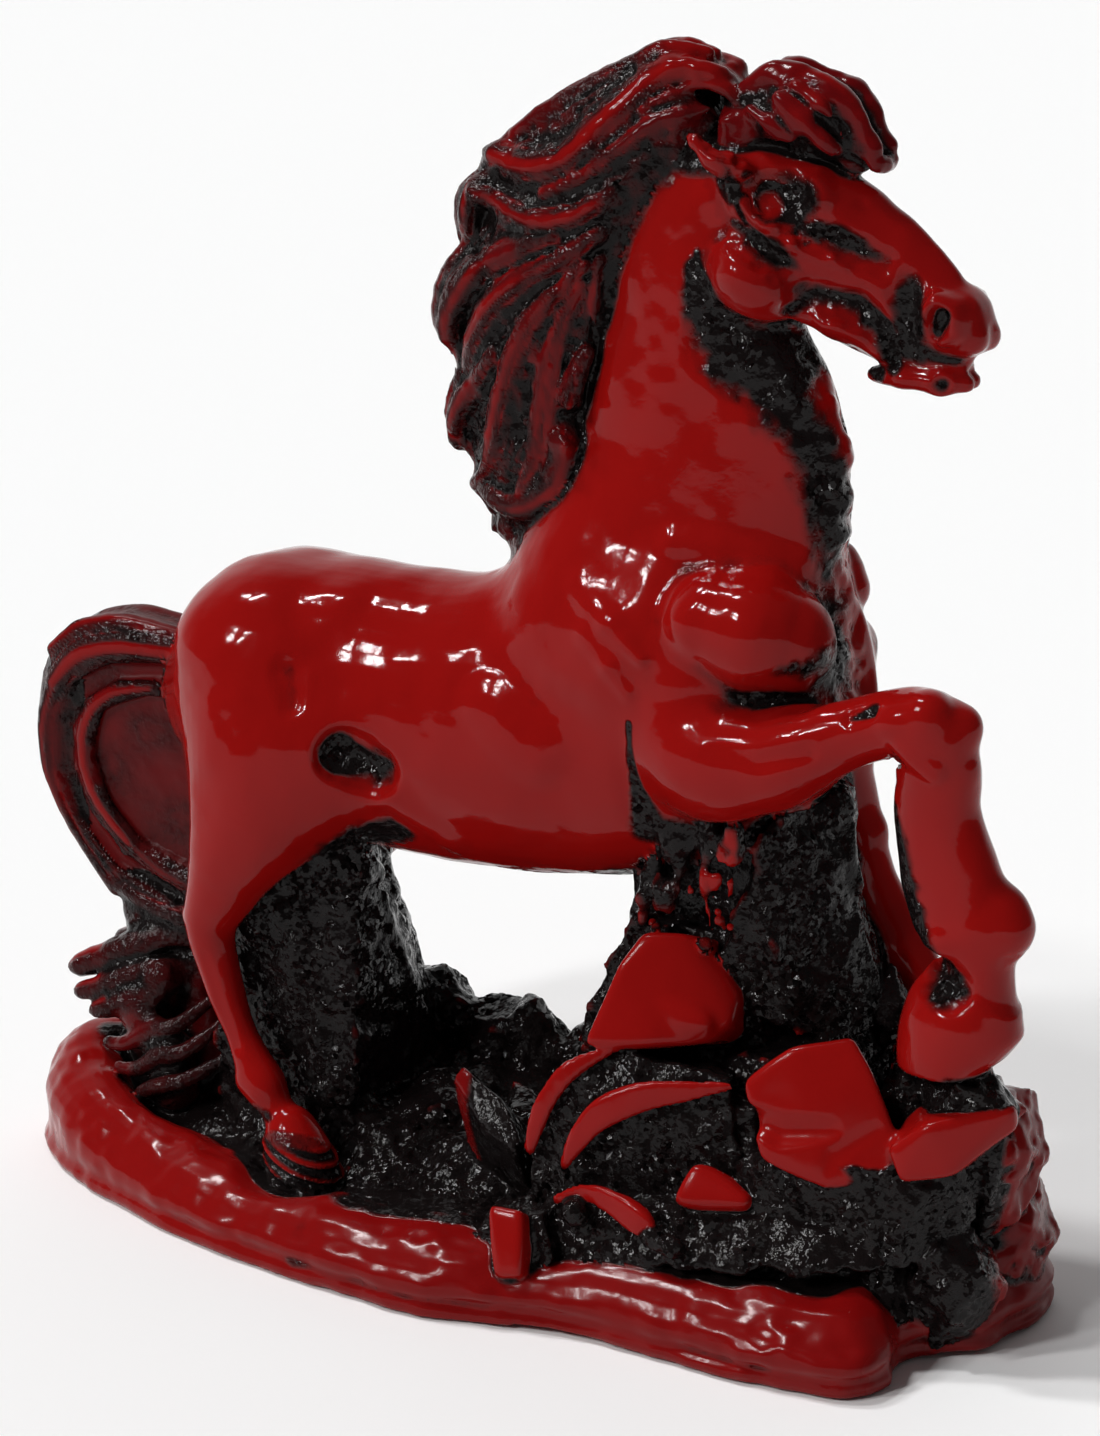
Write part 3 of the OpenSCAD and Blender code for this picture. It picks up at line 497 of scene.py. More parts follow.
# The horse's trunk is one casting from chest to croup, with the muscles of the shoulder,
# breast, haunch and flank modelled on the barrel and a deep hollow in front of the stifle.
def lofted(rows, sides=40, per_row=8, facing=1, reach=REACH):
    """Clay along a spine. A row is x, y, z, half width, reach to the front and reach to the back.
    Facing is 1 on a spine that runs forward or down, and -1 on one that runs up."""
    spine, _, across, front = frames(rows, np.arange(0, (len(rows) - 1) * per_row + 1) / per_row, facing)
    turn = 2 * np.pi * np.arange(sides) / sides
    out = np.where(np.sin(turn) > 0, spine[:, 4:5], spine[:, 5:6])
    return skin(spine[:, None, :3] + across[:, None] * (spine[:, 3:4] * np.cos(turn))[..., None]
                + front[:, None] * (out * np.sin(turn))[..., None], reach)


def mirrored(rows):
    return [[x, -y, *rest] for x, y, *rest in rows]


def both(rows):
    """The rows on the right side, and on the left."""
    return rows, mirrored(rows)


torso_rows = [
    [-53, 0, 67, 4.5, 4, 5], [-47, 0, 65.5, 11, 10.5, 11], [-39, 0, 65.5, 14.5, 16, 16],
    [-30, 0, 65.5, 15, 18.2, 17.5], [-20, 0, 64.8, 14.5, 18.8, 18.5], [-9, 0, 64.4, 15, 19.4, 18.4],
    [2, 0, 65.2, 15, 20.6, 18.4], [12, 0, 67.3, 14.5, 21, 19], [22, 0, 70.5, 14, 19.5, 18],
    [32, 0, 74.5, 12.5, 16, 14], [39, 0, 77.5, 9, 10, 10], [42, 0, 78.5, 4, 5, 5],
]
muscles = [
    [5, [[9, -3, 82, 9.5], [17, -4.5, 79, 10.5]]],
    [2.2, [[24.6, -7.6, 76, 8.4], [25.5, -8.6, 69.4, 8]]],
    [5, [[-37, -4.5, 71, 11.5], [-31, -6, 62, 11.5]]],
    [4, [[-23, -6.5, 61, 9.5], [-30, -7, 56, 9.5]]],
    [4, [[-25, -6.4, 76.8, 3.2]]],
    [3, [[-15, -12.2, 58.6, 2.2], [-7.5, -9.6, 53.2, 1.4]]],
    [1.4, [[10.6, -11.2, 86.2, 0.9], [15.7, -13.8, 83.2, 1.1], [20.1, -15.2, 80, 0.8]]],
    [1.4, [[12.5, -13.4, 81.8, 0.8], [16, -14.7, 78.6, 1], [18.4, -15, 75.8, 0.8]]],
]
breasts = [
    [1.4, [[27.4, -9.6, 84.2, 7], [32, -9.4, 83.4, 7.5], [35.4, -8, 82.4, 6.6]]],
    [1.4, [[24.5, 9, 84.4, 6.4], [29.6, 8.4, 84.4, 6.2], [32.4, 6.8, 83.4, 5]]],
    [0.8, [[35.6, 6, 87.2, 3.8], [36, 6, 85.6, 4]]],
    [0.8, [[36.4, 6, 78.2, 4.9]]],
    [0.8, [[36.8, 1.4, 75.6, 4]]],
]
torso = lofted(torso_rows, 64, reach=8)
for blend, balls in muscles:
    for side in both(balls):
        torso.add(mass(side, reach=8), blend)
castings["torso"] = torso


# The neck is glued on the trunk and carries the head, the mane and the forelock. A rough crest
# of short hair runs down its front edge from the throat to between the breasts.
neck_rows = [
    [15, 0, 76, 12, 21, 19], [18, 0, 88, 11.8, 21, 19.5], [20.5, 0, 98, 10, 20, 18],
    [21.5, 0, 107, 8.8, 18, 16.5], [21.5, 0, 116, 8.2, 12.5, 14.5], [21.5, 0, 125, 7.4, 9, 12],
    [23, 0, 133, 6, 7, 9], [25, 0, 138, 3.5, 4, 5],
]
throat_crest = [
    [26, -5, 116, 3], [31, -4, 113, 3.4], [35.4, -2, 108, 3], [38, -1, 102, 2.6], [39.6, -1, 96, 2.6],
    [40, -1, 90, 2.4], [41, -2, 84, 2.4], [42, -2, 78, 2.4],
]
neck = lofted(neck_rows, 64, facing=-1, reach=8)
throat_ridge = [[32, -2, 112, 2.6], [35.4, -1, 107.4, 3], [37.6, -1, 103, 3.2], [37.8, -1, 98.6, 3.2],
                [37, -1, 94, 3], [35.6, -0.6, 90, 2.8]]
neck.add(mass(throat_ridge), 1.6)
castings["neck"] = neck


# The head has its own casting down to the throat: a wedge with round cheeks, deep eyes under
# heavy brows, laid-back ears, flared nostrils and a slightly open mouth.
head_rows = [
    [20, 0, 135, 5, 5, 7], [26, 0, 132.5, 6.6, 7.5, 9], [32, 0, 129, 7, 9.5, 10],
    [38, 0, 125.3, 5.8, 10, 9], [44, 0, 121.3, 4.5, 9.2, 8], [49, 0, 118.4, 4.1, 8, 6.2],
    [53, 0, 116.8, 4, 6.2, 4.8], [55, 0, 116, 2.8, 4, 3],
]
head_forms = [
    [1.5, [[29.4, -4, 124.2, 6.6], [31.4, -3.8, 127.6, 5]]],
    [1.0, [[35, -3.2, 120.6, 2.6], [38.6, -2.8, 119.4, 2.8], [43.4, -1.8, 116.6, 2.4]]],
    [1.5, [[51, -2.6, 120.8, 3.1]]],
    [1.0, [[54, -1.6, 118.2, 2.5]]],
    [1.2, [[48.6, -1, 122.4, 3], [52.6, -1.2, 120.9, 3.3], [53.6, -1.2, 118.4, 2.8]]],
    [0.8, [[42.4, -1, 113, 1.7], [46.5, -2.2, 113.3, 2], [51, -2.2, 113, 2.2], [53.4, -1, 112.9, 1.9]]],
    [1.0, [[20.8, -7.6, 140.2, 0.6], [23, -8, 139, 1.4], [25.6, -7.4, 137.2, 1.9],
           [28, -6.4, 135.8, 1.6]]],
]
face = [
    [1, [[25, -7.4, 137.2, 2.4], [29.1, -7.2, 137, 2.6], [32.6, -7, 137.4, 2.2], [35.8, -6.4, 136.2, 2]]],
    [0.8, [[26.4, -7, 134.4, 2.4], [27.2, -7.2, 132, 2]]],
    [1.2, [[36.4, -6.2, 135.4, 2.2], [37.2, -5.8, 133.2, 2]]],
    [-2.2, [[31, -7, 133, 2.9], [33.4, -7, 132.8, 3]]],
    [0.7, [[30.2, -5.4, 132.8, 1.7], [31.6, -5.4, 132, 1.8]]],
    [-1.4, [[33.2, -6, 135.2, 1.3], [31.2, -6.4, 135.2, 1.1], [30.2, -6.4, 134.2, 0.8]]],
    [0.9, [[28.6, -6.8, 132.4, 0.9], [29.4, -7, 130.6, 1], [31.6, -7.2, 129.9, 1],
           [34.4, -6.8, 130.4, 0.9]]],
    [-2.2, [[28, -8, 129.2, 0.9], [30.6, -8.2, 127.8, 1.4], [33, -8, 126.2, 1.4],
            [35, -7.6, 125.4, 0.9]]],
    [0.8, [[34.4, -7.6, 128.2, 1.2], [37, -6.9, 127, 1.4], [40.1, -6.2, 125.8, 1.4]]],
    [-2.3, [[35.2, -6.7, 130, 0.9], [38.4, -6, 128.8, 1.5], [41.4, -5.4, 127.4, 1.5],
            [44.4, -4.6, 126.2, 0.9]]],
    [-1.2, [[22.6, -7.6, 126.4, 1.4], [22.4, -7.8, 121.6, 2.2], [24.6, -7.6, 117.6, 2.4],
            [29, -6.6, 115.8, 2.2], [33, -6, 117.4, 1.6]]],
    [-1.6, [[33.6, -6.2, 120.4, 1], [36.4, -5.8, 122.4, 1.3], [41, -4.8, 121.8, 1.4],
            [44.6, -4.2, 119.2, 1.4], [45.4, -4, 115.6, 1.3]]],
    [0.8, [[37.6, -4.8, 119.8, 1.8], [41.6, -4, 118.2, 1.8]]],
    [-2, [[46.8, -4.5, 124.4, 1.2], [47.1, -4.6, 121, 1.9], [47, -4.4, 117.4, 1.9]]],
    [1.1, [[49.4, -4.6, 121, 1.2], [50.6, -4.8, 123, 1.3], [53, -4.2, 122, 1.4], [53.4, -4, 119, 1.3],
           [51, -4.8, 117.2, 1.1]]],
    [-2.6, [[51.6, -5.2, 120.9, 1.5], [50.7, -5.2, 119, 1.3]]],
    [-1.8, [[46.4, -4.3, 115.7, 1.2], [50.5, -4.2, 115.7, 1.3], [54, -3.2, 115.4, 1.2],
            [56.2, -1, 115.2, 1.1]]],
    [-1.6, [[51.4, -3.8, 112.9, 1.3]]],
    [-1, [[41.2, -3.8, 132.6, 0.9]]],
    [-1.4, [[26, -7, 139, 1.4], [31, -7, 139.2, 1.6], [35.8, -6, 138.6, 1.8], [39, -4.8, 137.2, 1.8],
            [42, -2.6, 135.6, 1.4]]],
]
head = lofted(head_rows, 64)
for blend, balls in head_forms:
    for side in both(balls):
        head.add(mass(side), blend)
for height, rows in face:
    for side in both(rows):
        head.press(height, side, 0.4)
face_cracks = [
    [[28, -8.6, 129.4, 1.6], [35.2, -8, 125.2, 1.6]],
    [[35, -7, 130, 1.8], [44.4, -5, 126.3, 1.6]],
    [[47, -5, 124, 1.8], [47, -5, 116.4, 1.8], [52, -4.6, 115.6, 1]],
    [[31.6, -7.4, 134.8, 2], [34.6, -7, 132, 1.6]],
    [[36, -6.4, 122, 1.6], [42, -5.4, 121, 1.6], [45, -5, 117.6, 1.6]],
    [[26, -7.4, 139, 1.6], [38, -5.4, 137.6, 1.8]],
]
for rows in face_cracks:
    for side in both(rows):
        head.roughen(1.1, 2, 27, near=mass(side), over=1.2)
head.roughen(3, 0.4, 23)
castings["head"] = head


# The mane is one casting glued along the crest of the neck: a dark core under locks that sweep
# back in long curves and fall on both sides, with fine combed strands between them. The black
# is rubbed off the crest of each lock.
def sampled(volume, points):
    """The volume's values at some points, which count in voxels."""
    points = np.clip(points, 0, np.array(volume.shape) - 1)
    first = np.minimum(np.floor(points).astype(int), np.array(volume.shape) - 2)
    share = (points - first).astype(np.float32)
    total = np.zeros(len(points), np.float32)
    for corner in range(8):
        step = [(corner >> axis) & 1 for axis in range(3)]
        weight = np.prod([share[:, a] if step[a] else 1 - share[:, a] for a in range(3)], axis=0)
        total += weight * volume[first[:, 0] + step[0], first[:, 1] + step[1], first[:, 2] + step[2]]
    return total


def outward(form, places):
    """Unit ways out of a form at some places, and how far outside it they are."""
    at = (places - clay_low) / GRAIN - form.start
    step = 1.2 / GRAIN * np.eye(3)
    slope = np.stack([sampled(form.depth, at + s) - sampled(form.depth, at - s) for s in step], 1)
    way = slope / np.maximum(np.linalg.norm(slope, axis=1, keepdims=True), 1e-6)
    return way, sampled(form.depth, at)[:, None]


def settled(rows, core):
    """The rows of a lock, moved onto a core by 2 millimetres at most."""
    way, off = outward(core, rows[:, :3])
    return np.column_stack([rows[:, :3] - way * np.clip(off, -2, 2), rows[:, 3]])


def comb(form, core, locks, fine_gaps):
    """Raises locks on a core of hair, on both sides, and fine strands between pairs of them.
    A lock is how far the black is rubbed off it, and rows of x, y, z and half width."""
    rows_per_lock, lock_height, foot_share = 17, 1.3, 1.6
    strand_rub, strand_height, strand_width = 0.7, 0.7, 0.6
    laid = []
    for rub, rows in locks:
        rows = curve(rows, np.linspace(0, len(rows) - 1, rows_per_lock))
        rows = settled(settled(rows, core), core)
        laid.append((rub, lock_height * rows[:, 3].max(), rows))
    strands = []
    for one, two in fine_gaps:
        for share in (0.17, 0.33, 0.5, 0.67, 0.83):
            rows = settled((1 - share) * laid[one][2] + share * laid[two][2], core)
            rows[:, 3] = strand_width
            strands.append((strand_rub, strand_height, rows))
    bump = np.zeros_like(form.depth)
    for rub, tall, rows in strands + laid:
        way, _ = outward(core, rows[:, :3])
        top = np.column_stack([rows[:, :3] + 0.5 * tall * way, 0.75 * rows[:, 3] + 0.35])
        for turn in ([1, 1, 1, 1], [1, -1, 1, 1]):
            line = line_field(rows * turn * [1, 1, 1, foot_share])
            mine, its, _ = form.shared(line)
            bump[mine] = np.maximum(bump[mine], tall * np.maximum(1 - line.depth[its], 0) ** 2)
            line = line_field(top * turn)
            _, its, grid = form.shared(line)
            crest[grid] = np.maximum(crest[grid], rub * np.maximum(1 - line.depth[its], 0))
    form.depth -= bump


crest = np.zeros(clay_shape, np.float32)
mane_core_rows = [
    [-1, 0, 86, 4.4, 7, 4.4], [0.5, 0, 98, 7.6, 9, 9.6], [1, 0, 110, 8.4, 10, 11.5],
    [4, 0, 121, 8.2, 10, 14.4], [10, 0, 131, 7.6, 9, 15.6], [17, 0, 139, 6.4, 6, 9.6],
    [22, 0, 143.6, 4, 4, 4],
]
top_lock = [
    [26, 0, 142.6, 2.4], [22, 0, 145.4, 2.8], [16.1, 0, 145.8, 2.8], [10.9, 0, 144, 2.8],
    [5.8, 0, 140.6, 2.6], [0, 0, 137, 2.3], [-4.5, 0, 135.2, 1.8],
]
mane_locks = [
    [1, [[23, -2.6, 146, 1.8], [19, -3.4, 146.6, 2.2], [15.6, -4.4, 145.4, 2.4], [12, -6, 142.2, 2.4],
         [8.5, -6.6, 138.4, 2.4], [4.9, -6.6, 135.4, 2.3], [0.5, -6, 134.6, 2.3],
         [-4.6, -4.6, 135.4, 2.4]]],
    [0.6, [[23, -5, 141.8, 1.2], [17.4, -6, 141, 1.5], [12.6, -7, 137.6, 1.5], [8, -7.6, 134, 1.4],
           [3, -7.2, 131.8, 1.2]]],
    [0.95, [[11.6, -7.8, 131.9, 1.4], [8.6, -8.5, 130.2, 2], [4.8, -8.6, 128.9, 2.1],
            [0.6, -8.1, 128.8, 2], [-3.6, -6.6, 130.2, 1.8], [-7, -4.6, 131, 1.4]]],
    [0.9, [[10.4, -7.6, 127.4, 1.2], [5.1, -8.3, 123.9, 1.8], [0, -8.5, 121.4, 2], [-4.5, -8.1, 118, 2.3],
           [-7.6, -7, 114, 2.2], [-9.6, -5.8, 110.4, 1.6]]],
    [0.8, [[5, -8, 126.8, 1.2], [-1.4, -7, 124.6, 1.8], [-6.2, -5.6, 121.6, 2.3],
           [-9.6, -5.2, 117.4, 2.5], [-10.9, -5, 113, 2.4], [-11, -4.4, 109, 1.6]]],
    [0.85, [[9, -8.4, 123.6, 1], [3.6, -9.4, 118.6, 1.5], [-0.2, -9.6, 113.4, 1.8],
            [-2.2, -9.2, 108.4, 2], [-3.6, -8.4, 103.4, 2], [-5, -7, 99, 1.7], [-9, -4, 95, 1.4]]],
    [0.45, [[8.8, -9, 121.4, 0.9], [6.8, -10, 116.4, 1.2], [6.2, -10.4, 111.4, 1.4],
            [5.4, -10, 106.6, 1.2], [4.4, -9.4, 102, 1]]],
    [0.6, [[6.6, -9.8, 118.4, 0.9], [4.4, -10.4, 112, 1.2], [3.4, -10.2, 105.8, 1.4],
           [2.4, -9.4, 99.6, 1.4], [0, -8, 95.6, 1.2]]],
    [0.95, [[10, -10, 113, 1.4], [8.6, -11, 108.6, 2.4], [7.8, -11, 103, 3], [6.6, -10.6, 98.4, 2.9],
            [3.6, -9.4, 94.8, 2.3], [-1.4, -7.6, 93.6, 2], [-6.4, -6, 94.6, 1.6]]],
    [0.5, [[11, -8.4, 124, 0.9], [11, -9.8, 118, 1], [11.4, -10.4, 112, 1.1], [12.6, -10.8, 106, 1.2],
           [13, -11, 100.4, 1.3], [11.4, -11, 95.4, 1.3], [6.4, -9.4, 91.4, 1.3],
           [-1.4, -6.4, 88.4, 1.2]]],
    [0.75, [[-3, -6.6, 112, 1.2], [-7.8, -5.6, 107, 1.9], [-10.6, -4.4, 102.6, 1.9],
            [-11.6, -3, 98.8, 1.3]]],
    [0.7, [[21.6, -1, 148.4, 1.2], [17, -1.6, 148.6, 1.6], [12.6, -1.6, 147, 1.7], [8, -2, 144.2, 1.6],
           [3, -2, 140.6, 1.5], [-2, -2, 137.4, 1.4]]],
    [0.7, [[0, -3.4, 136, 1.2], [-6.4, -3, 131.6, 1.5], [-9.6, -3.2, 124, 1.7], [-11.4, -3.2, 116, 1.7],
           [-11.4, -2.8, 108, 1.5], [-9.6, -2.4, 100, 1.3], [-6, -2, 92.6, 1.1]]],
    [0.55, [[-2.4, -1.2, 137, 1], [-8.4, -1, 130, 1.3], [-11.4, -0.8, 122.6, 1.4],
            [-13, -0.8, 114.6, 1.4], [-12, -0.6, 105, 1.2], [-9.4, -0.6, 97, 1], [-6, -0.6, 90, 1]]],
    [0.8, [[25.6, -2.4, 143, 1.2], [24, -3.4, 144.6, 1.5], [20, -4.4, 144.6, 1.4], [15, -5.6, 142, 1.2]]],
]
mane_lobes = [
    [[21, 0, 146.2, 2], [16.6, 0, 147.2, 2.1], [13, 0, 145.6, 1.9]],
    [[7, 0, 142.4, 1.6], [4, 0, 141, 1.6], [2, 0, 139, 1.4]],
    [[0, 0, 136, 2], [-3.6, 0, 135.4, 2.6], [-6.4, 0, 135, 2]],
    [[-3, 0, 131.6, 3], [-7.4, 0, 129.6, 3.2], [-9, 0, 126.4, 2.4]],
    [[-6, 0, 122, 4], [-9.4, 0, 118.6, 3.8], [-11, 0, 113.6, 2.8]],
    [[-7, 0, 107.6, 3.4], [-9.6, 0, 104, 2.8], [-10.4, 0, 100.4, 1.8]],
    [[-4, 0, 97.6, 3], [-7, 0, 95.4, 2.4]],
    [[-2, 0, 91.6, 3], [-4.6, 0, 89.6, 2.4]],
]
mane_core = lofted(mane_core_rows, facing=-1).add(strand(top_lock, flat=1.5), 2)
mane_core.depth += 0.5
for rows in mane_lobes:
    mane_core.add(strand(rows, flat=1.6), 0.8)
mane = mane_core.copied().roughen(2.4, 0.6, 9)
mane_gaps = ((0, 1), (1, 2), (2, 3), (3, 4), (3, 5), (5, 6), (5, 7), (6, 8), (7, 8), (8, 9), (4, 10),
             (6, 9), (0, 11), (10, 5), (12, 13), (12, 4))
comb(mane, mane_core, mane_locks, mane_gaps)
mane.roughen(1.1, 0.55, 24).roughen(2.2, 0.7, 25, near=mass([[23, -3, 146, 4], [16, -2, 148, 3]]))
castings["mane"] = mane


# The forelock is a domed tuft between the ears, glued over the joint of mane and head, with
# short thick strands that fall over the brow.
forelock_core = mass([[26, 0, 139.6, 4.8], [31, 0, 142, 5.4], [35.8, 0, 140.4, 5.2], [39.4, 0, 137.4, 3.8]])
forelock_locks = [
    [0.95, [[26.6, -1.8, 143.4, 1.6], [31.4, -2, 146.6, 2.4], [36, -2.2, 145.4, 2.5],
            [39.8, -2.2, 141.8, 2.3], [42, -1.8, 138.6, 2]]],
    [1, [[31.6, -5, 144, 1.2], [34, -5.6, 142.4, 2.1], [36.4, -5.6, 140.4, 2.2], [38.2, -5, 138.2, 1.6]]],
    [0.6, [[28, -4.6, 142.6, 1.2], [30.6, -5.4, 141, 1.5], [33, -5.8, 139, 1.3]]],
    [0.9, [[33, -3.4, 145.2, 1.2], [36.6, -4, 143, 1.5], [39, -3.8, 140, 1.3]]],
]
forelock = forelock_core.copied()
forelock.depth -= 0.4
forelock.roughen(4, 1.8, 18)
comb(forelock, forelock_core, forelock_locks, ((0, 3), (1, 3), (1, 2)))
forelock.add(mass([[42.2, -1.8, 136.9, 1.9], [42.2, 1.8, 136.9, 1.9]]), 0.6)
forelock.roughen(2.4, 1, 11).roughen(1.2, 0.6, 38)
castings["forelock"] = forelock


# The tail is one casting from the dock to the ground: a curled outer band, a rib inside it
# round a dull flat panel, and a stem that fans out into blunt tips over the rim.
tail_sheet = [
    [-45, 3, 70], [-52, 3, 71.4], [-60, 3.2, 72.4], [-67.4, 3.2, 70.6], [-72, 3, 66], [-74, 2.8, 59],
    [-73.4, 2.8, 51], [-70, 2.8, 44], [-64.6, 2.8, 37], [-59, 3, 30], [-50, 3, 29], [-45, 3, 35],
]
tail_panel = [
    [-44, 2.6, 62], [-56, 2.6, 62.4], [-63, 2.6, 59.6], [-64.6, 2.6, 53], [-62, 2.6, 47],
    [-57, 2.6, 42.4], [-44, 2.6, 38.6],
]
tail_gutter = [
    [-47, -3.2, 66.4, 1.5], [-54, -3.2, 66, 1.8], [-61, -3.2, 65, 1.9], [-66, -3.2, 62, 1.9],
    [-68.8, -3.2, 57, 1.8], [-69, -3.2, 51, 1.8], [-66.4, -3.2, 45, 1.7], [-61, -3.2, 39.4, 1.6],
    [-52, -3.2, 35.6, 1.4],
]
tail_locks = [
    [1, [[-46.4, -3, 69.2, 1.6], [-53, -3.4, 69, 2], [-60, -3.6, 68.8, 2.1], [-66, -3.8, 66.8, 2.1],
         [-70, -3.6, 62.6, 1.6]]],
    [0.72, [[-69, -3.6, 64, 1.2], [-71.4, -3.4, 59, 1.5], [-72.2, -3.2, 54, 1.4], [-71.2, -3, 48, 1.3],
            [-67.4, -3, 41, 1.2], [-62.4, -3, 35, 1]]],
    [0.8, [[-50, -2.6, 71.2, 1], [-58, -2.8, 72.2, 1.3], [-65, -3, 71, 1.3], [-70.4, -2.6, 66.8, 1.2]]],
    [1, [[-55, -3.2, 63.8, 1], [-61.6, -3.2, 62, 1.2], [-65.2, -3.2, 57.8, 1.3], [-65.8, -3.2, 52.4, 1.4],
         [-63.8, -3.2, 47.2, 1.4], [-59.2, -3.2, 42.2, 1.2]]],
    [0.7, [[-60, -3.2, 42.8, 1], [-55, -3.2, 39.4, 1.2], [-50, -3.2, 37.6, 1.2], [-45, -3.2, 36.6, 1]]],
    [0.5, [[-63, -3.2, 36.4, 1], [-56, -3.4, 34, 1.2], [-49, -3.4, 32.6, 1]]],
]
tail_tips = [
    [[-52, -2.6, 30, 2.2], [-57.4, -4, 28.4, 2.4], [-62.6, -4.8, 26, 2.2], [-66.8, -5.4, 24.4, 1.7]],
    [[-52, -4, 26.6, 1.8], [-57, -6, 25, 2], [-61.6, -6.8, 22.8, 1.8], [-65.4, -7.2, 21.6, 1.3]],
    [[-52, -5, 23.4, 1.8], [-56.6, -7, 22.4, 1.8], [-60, -7.8, 20.6, 1.7], [-62.4, -8, 19.8, 1.3]],
    [[-45, -4.6, 24, 0.8], [-49, -8.8, 20.4, 1.2], [-53, -9.4, 19, 1.2], [-57, -9.4, 16.4, 1.2],
     [-60.4, -8.6, 15.8, 0.9]],
    [[-43, -5.6, 21.4, 0.8], [-47, -10, 17.6, 1.2], [-51, -11, 16.2, 1.2], [-54.4, -10.6, 13.8, 1.2],
     [-58, -9.8, 13.2, 0.9]],
    [[-42, -7, 17, 0.8], [-46, -11, 14.2, 1.2], [-50, -12, 12.8, 1.2], [-53.4, -11.6, 11, 1.1]],
]
tail_core = hull(tail_sheet + mirrored(tail_sheet))
tail_core.depth = blurred(np.minimum(tail_core.depth, REACH), 1.2) - 0.4
tail_stem = [[-58, 0, 31, 4], [-52, 0, 31, 4.4], [-50, 0, 13, 6], [-57, 0, 12, 5.6], [-57, 0, 30, 4]]
tail_core.add(mass(tail_stem), 1.5)
tail = tail_core.copied()
for y in (-1, 1):
    tail.cut(hull([[x, y * (w + shift), z] for x, w, z in tail_panel for shift in (0, 4)]), 0.8)
for rows in both(tail_gutter):
    tail.press(-1.4, rows)
comb(tail, tail_core, tail_locks, ((0, 2), (1, 3), (4, 5)))
tail_foot = [[-53, -4.6, 25, 3.4], [-56, -5.8, 20, 3.4], [-51, -7.6, 16, 3.4], [-50, -8.4, 11, 3.4]]
for side in both(tail_foot):
    tail.add(mass(side), 1.5)
for rows in tail_tips:
    for side in both(rows):
        tail.add(strand(side), 0.9)
for rub, rows in zip((0.85, 0.75, 0.7), tail_tips):
    for side in both(rows):
        line = line_field([[x - 0.8, y * 1.1, z + 0.7 * r, 1.2 * r] for x, y, z, r in side[2:]])
        grid = line.shared(line)[2]
        crest[grid] = np.maximum(crest[grid], rub * np.maximum(1 - line.depth, 0))
tail.roughen(2.4, 1.2, 28, near=mass([[-53, 0, 12, 8], [-53, 0, 24, 6]]), over=2)
tail.roughen(1.3, 0.25, 19)
castings["tail"] = tail


# The legs are four castings, each from the trunk to its hoof: the right foreleg is raised and
# bent, the left one stands behind the pillar, and the hind legs brace on the ground.
leg_rows = {
    "right_foreleg": [
        [19, -7.5, 74, 6.6, 8, 8], [27, -11.4, 68.6, 6.6, 8, 8], [34.1, -12.4, 69.2, 6.2, 7, 7],
        [39.7, -12.6, 71.6, 5.5, 5.8, 5.9], [45.1, -12.6, 74, 4.5, 4.5, 4.7],
        [50, -12.6, 75.8, 4.5, 4.5, 4.7], [54.6, -12.6, 75.6, 5.2, 5.4, 5.2],
        [56.4, -12.4, 70.8, 4.8, 5, 6], [57, -12.2, 66, 4.3, 4.5, 6.8], [58.9, -12.2, 60, 4.4, 4.7, 7.8],
        [60.4, -12, 56, 4.8, 5.2, 8.2], [61.4, -12, 52.8, 5.2, 6.6, 7.6],
        [61.9, -12, 48.6, 4.4, 4.2, 5.2], [61, -12, 45.6, 5.2, 6.4, 6.8], [60, -12, 42, 6.2, 7.6, 8],
        [59.5, -12, 38, 6.6, 6, 7.8], [59.4, -12, 35.2, 6.2, 3.6, 7.4],
    ],
    "left_foreleg": [
        [26, 8, 76, 7, 8, 8], [33, 11, 68, 6, 6, 7.4], [34.6, 11.6, 60.4, 4.4, 4.6, 4.8],
        [37, 11.6, 52, 4, 4.4, 4.2], [39.4, 11.4, 46, 3.6, 4, 3.8], [42, 11.4, 40.5, 4, 4.4, 4.2],
        [45, 11.4, 37, 3.6, 3.8, 3.6], [45.4, 11.4, 33.5, 4.8, 5, 5], [45.6, 11.4, 26, 5.6, 6, 6],
    ],
    "right_hind_leg": [
        [-32, -5, 72, 8, 10, 11], [-32.5, -9.4, 62, 8.6, 12.5, 12], [-34.5, -13, 52, 6.8, 9.6, 9.4],
        [-38, -14, 43.5, 4.8, 5.6, 5.6], [-40.4, -14, 37, 3.6, 3.8, 3.8],
        [-38.6, -14.4, 30.4, 2.8, 2.9, 2.8], [-35.4, -15, 23.6, 2.5, 2.6, 2.6],
        [-32, -15.8, 18, 3.3, 3.5, 3.3], [-29.7, -16.2, 14.9, 2.7, 2.8, 2.7],
        [-28.2, -16.5, 12.9, 3.8, 4.4, 3.8], [-25.8, -17, 7.8, 4.9, 5.6, 5],
        [-24.6, -17.2, 3, 5.3, 6.2, 5.4],
    ],
    "left_hind_leg": [
        [-30, 5, 72, 8, 10, 11], [-27, 9.4, 61, 8.6, 12, 11.5], [-28.5, 12.6, 51, 6.6, 8.4, 8.6],
        [-32.5, 13, 43, 4.8, 5.2, 5.4], [-36, 13, 36.8, 3.6, 3.4, 3.6], [-36, 13, 29.5, 2.8, 2.7, 2.8],
        [-35.4, 13, 23, 2.6, 2.6, 2.6], [-34, 13, 17.6, 3.3, 3.5, 3.3], [-32.2, 13, 14.6, 2.7, 2.8, 2.7],
        [-30.8, 13, 12.4, 3.8, 4.4, 3.8], [-28.8, 13, 7.6, 4.9, 5.6, 5], [-27.8, 13, 3, 5.3, 6.2, 5.4],
    ],
}
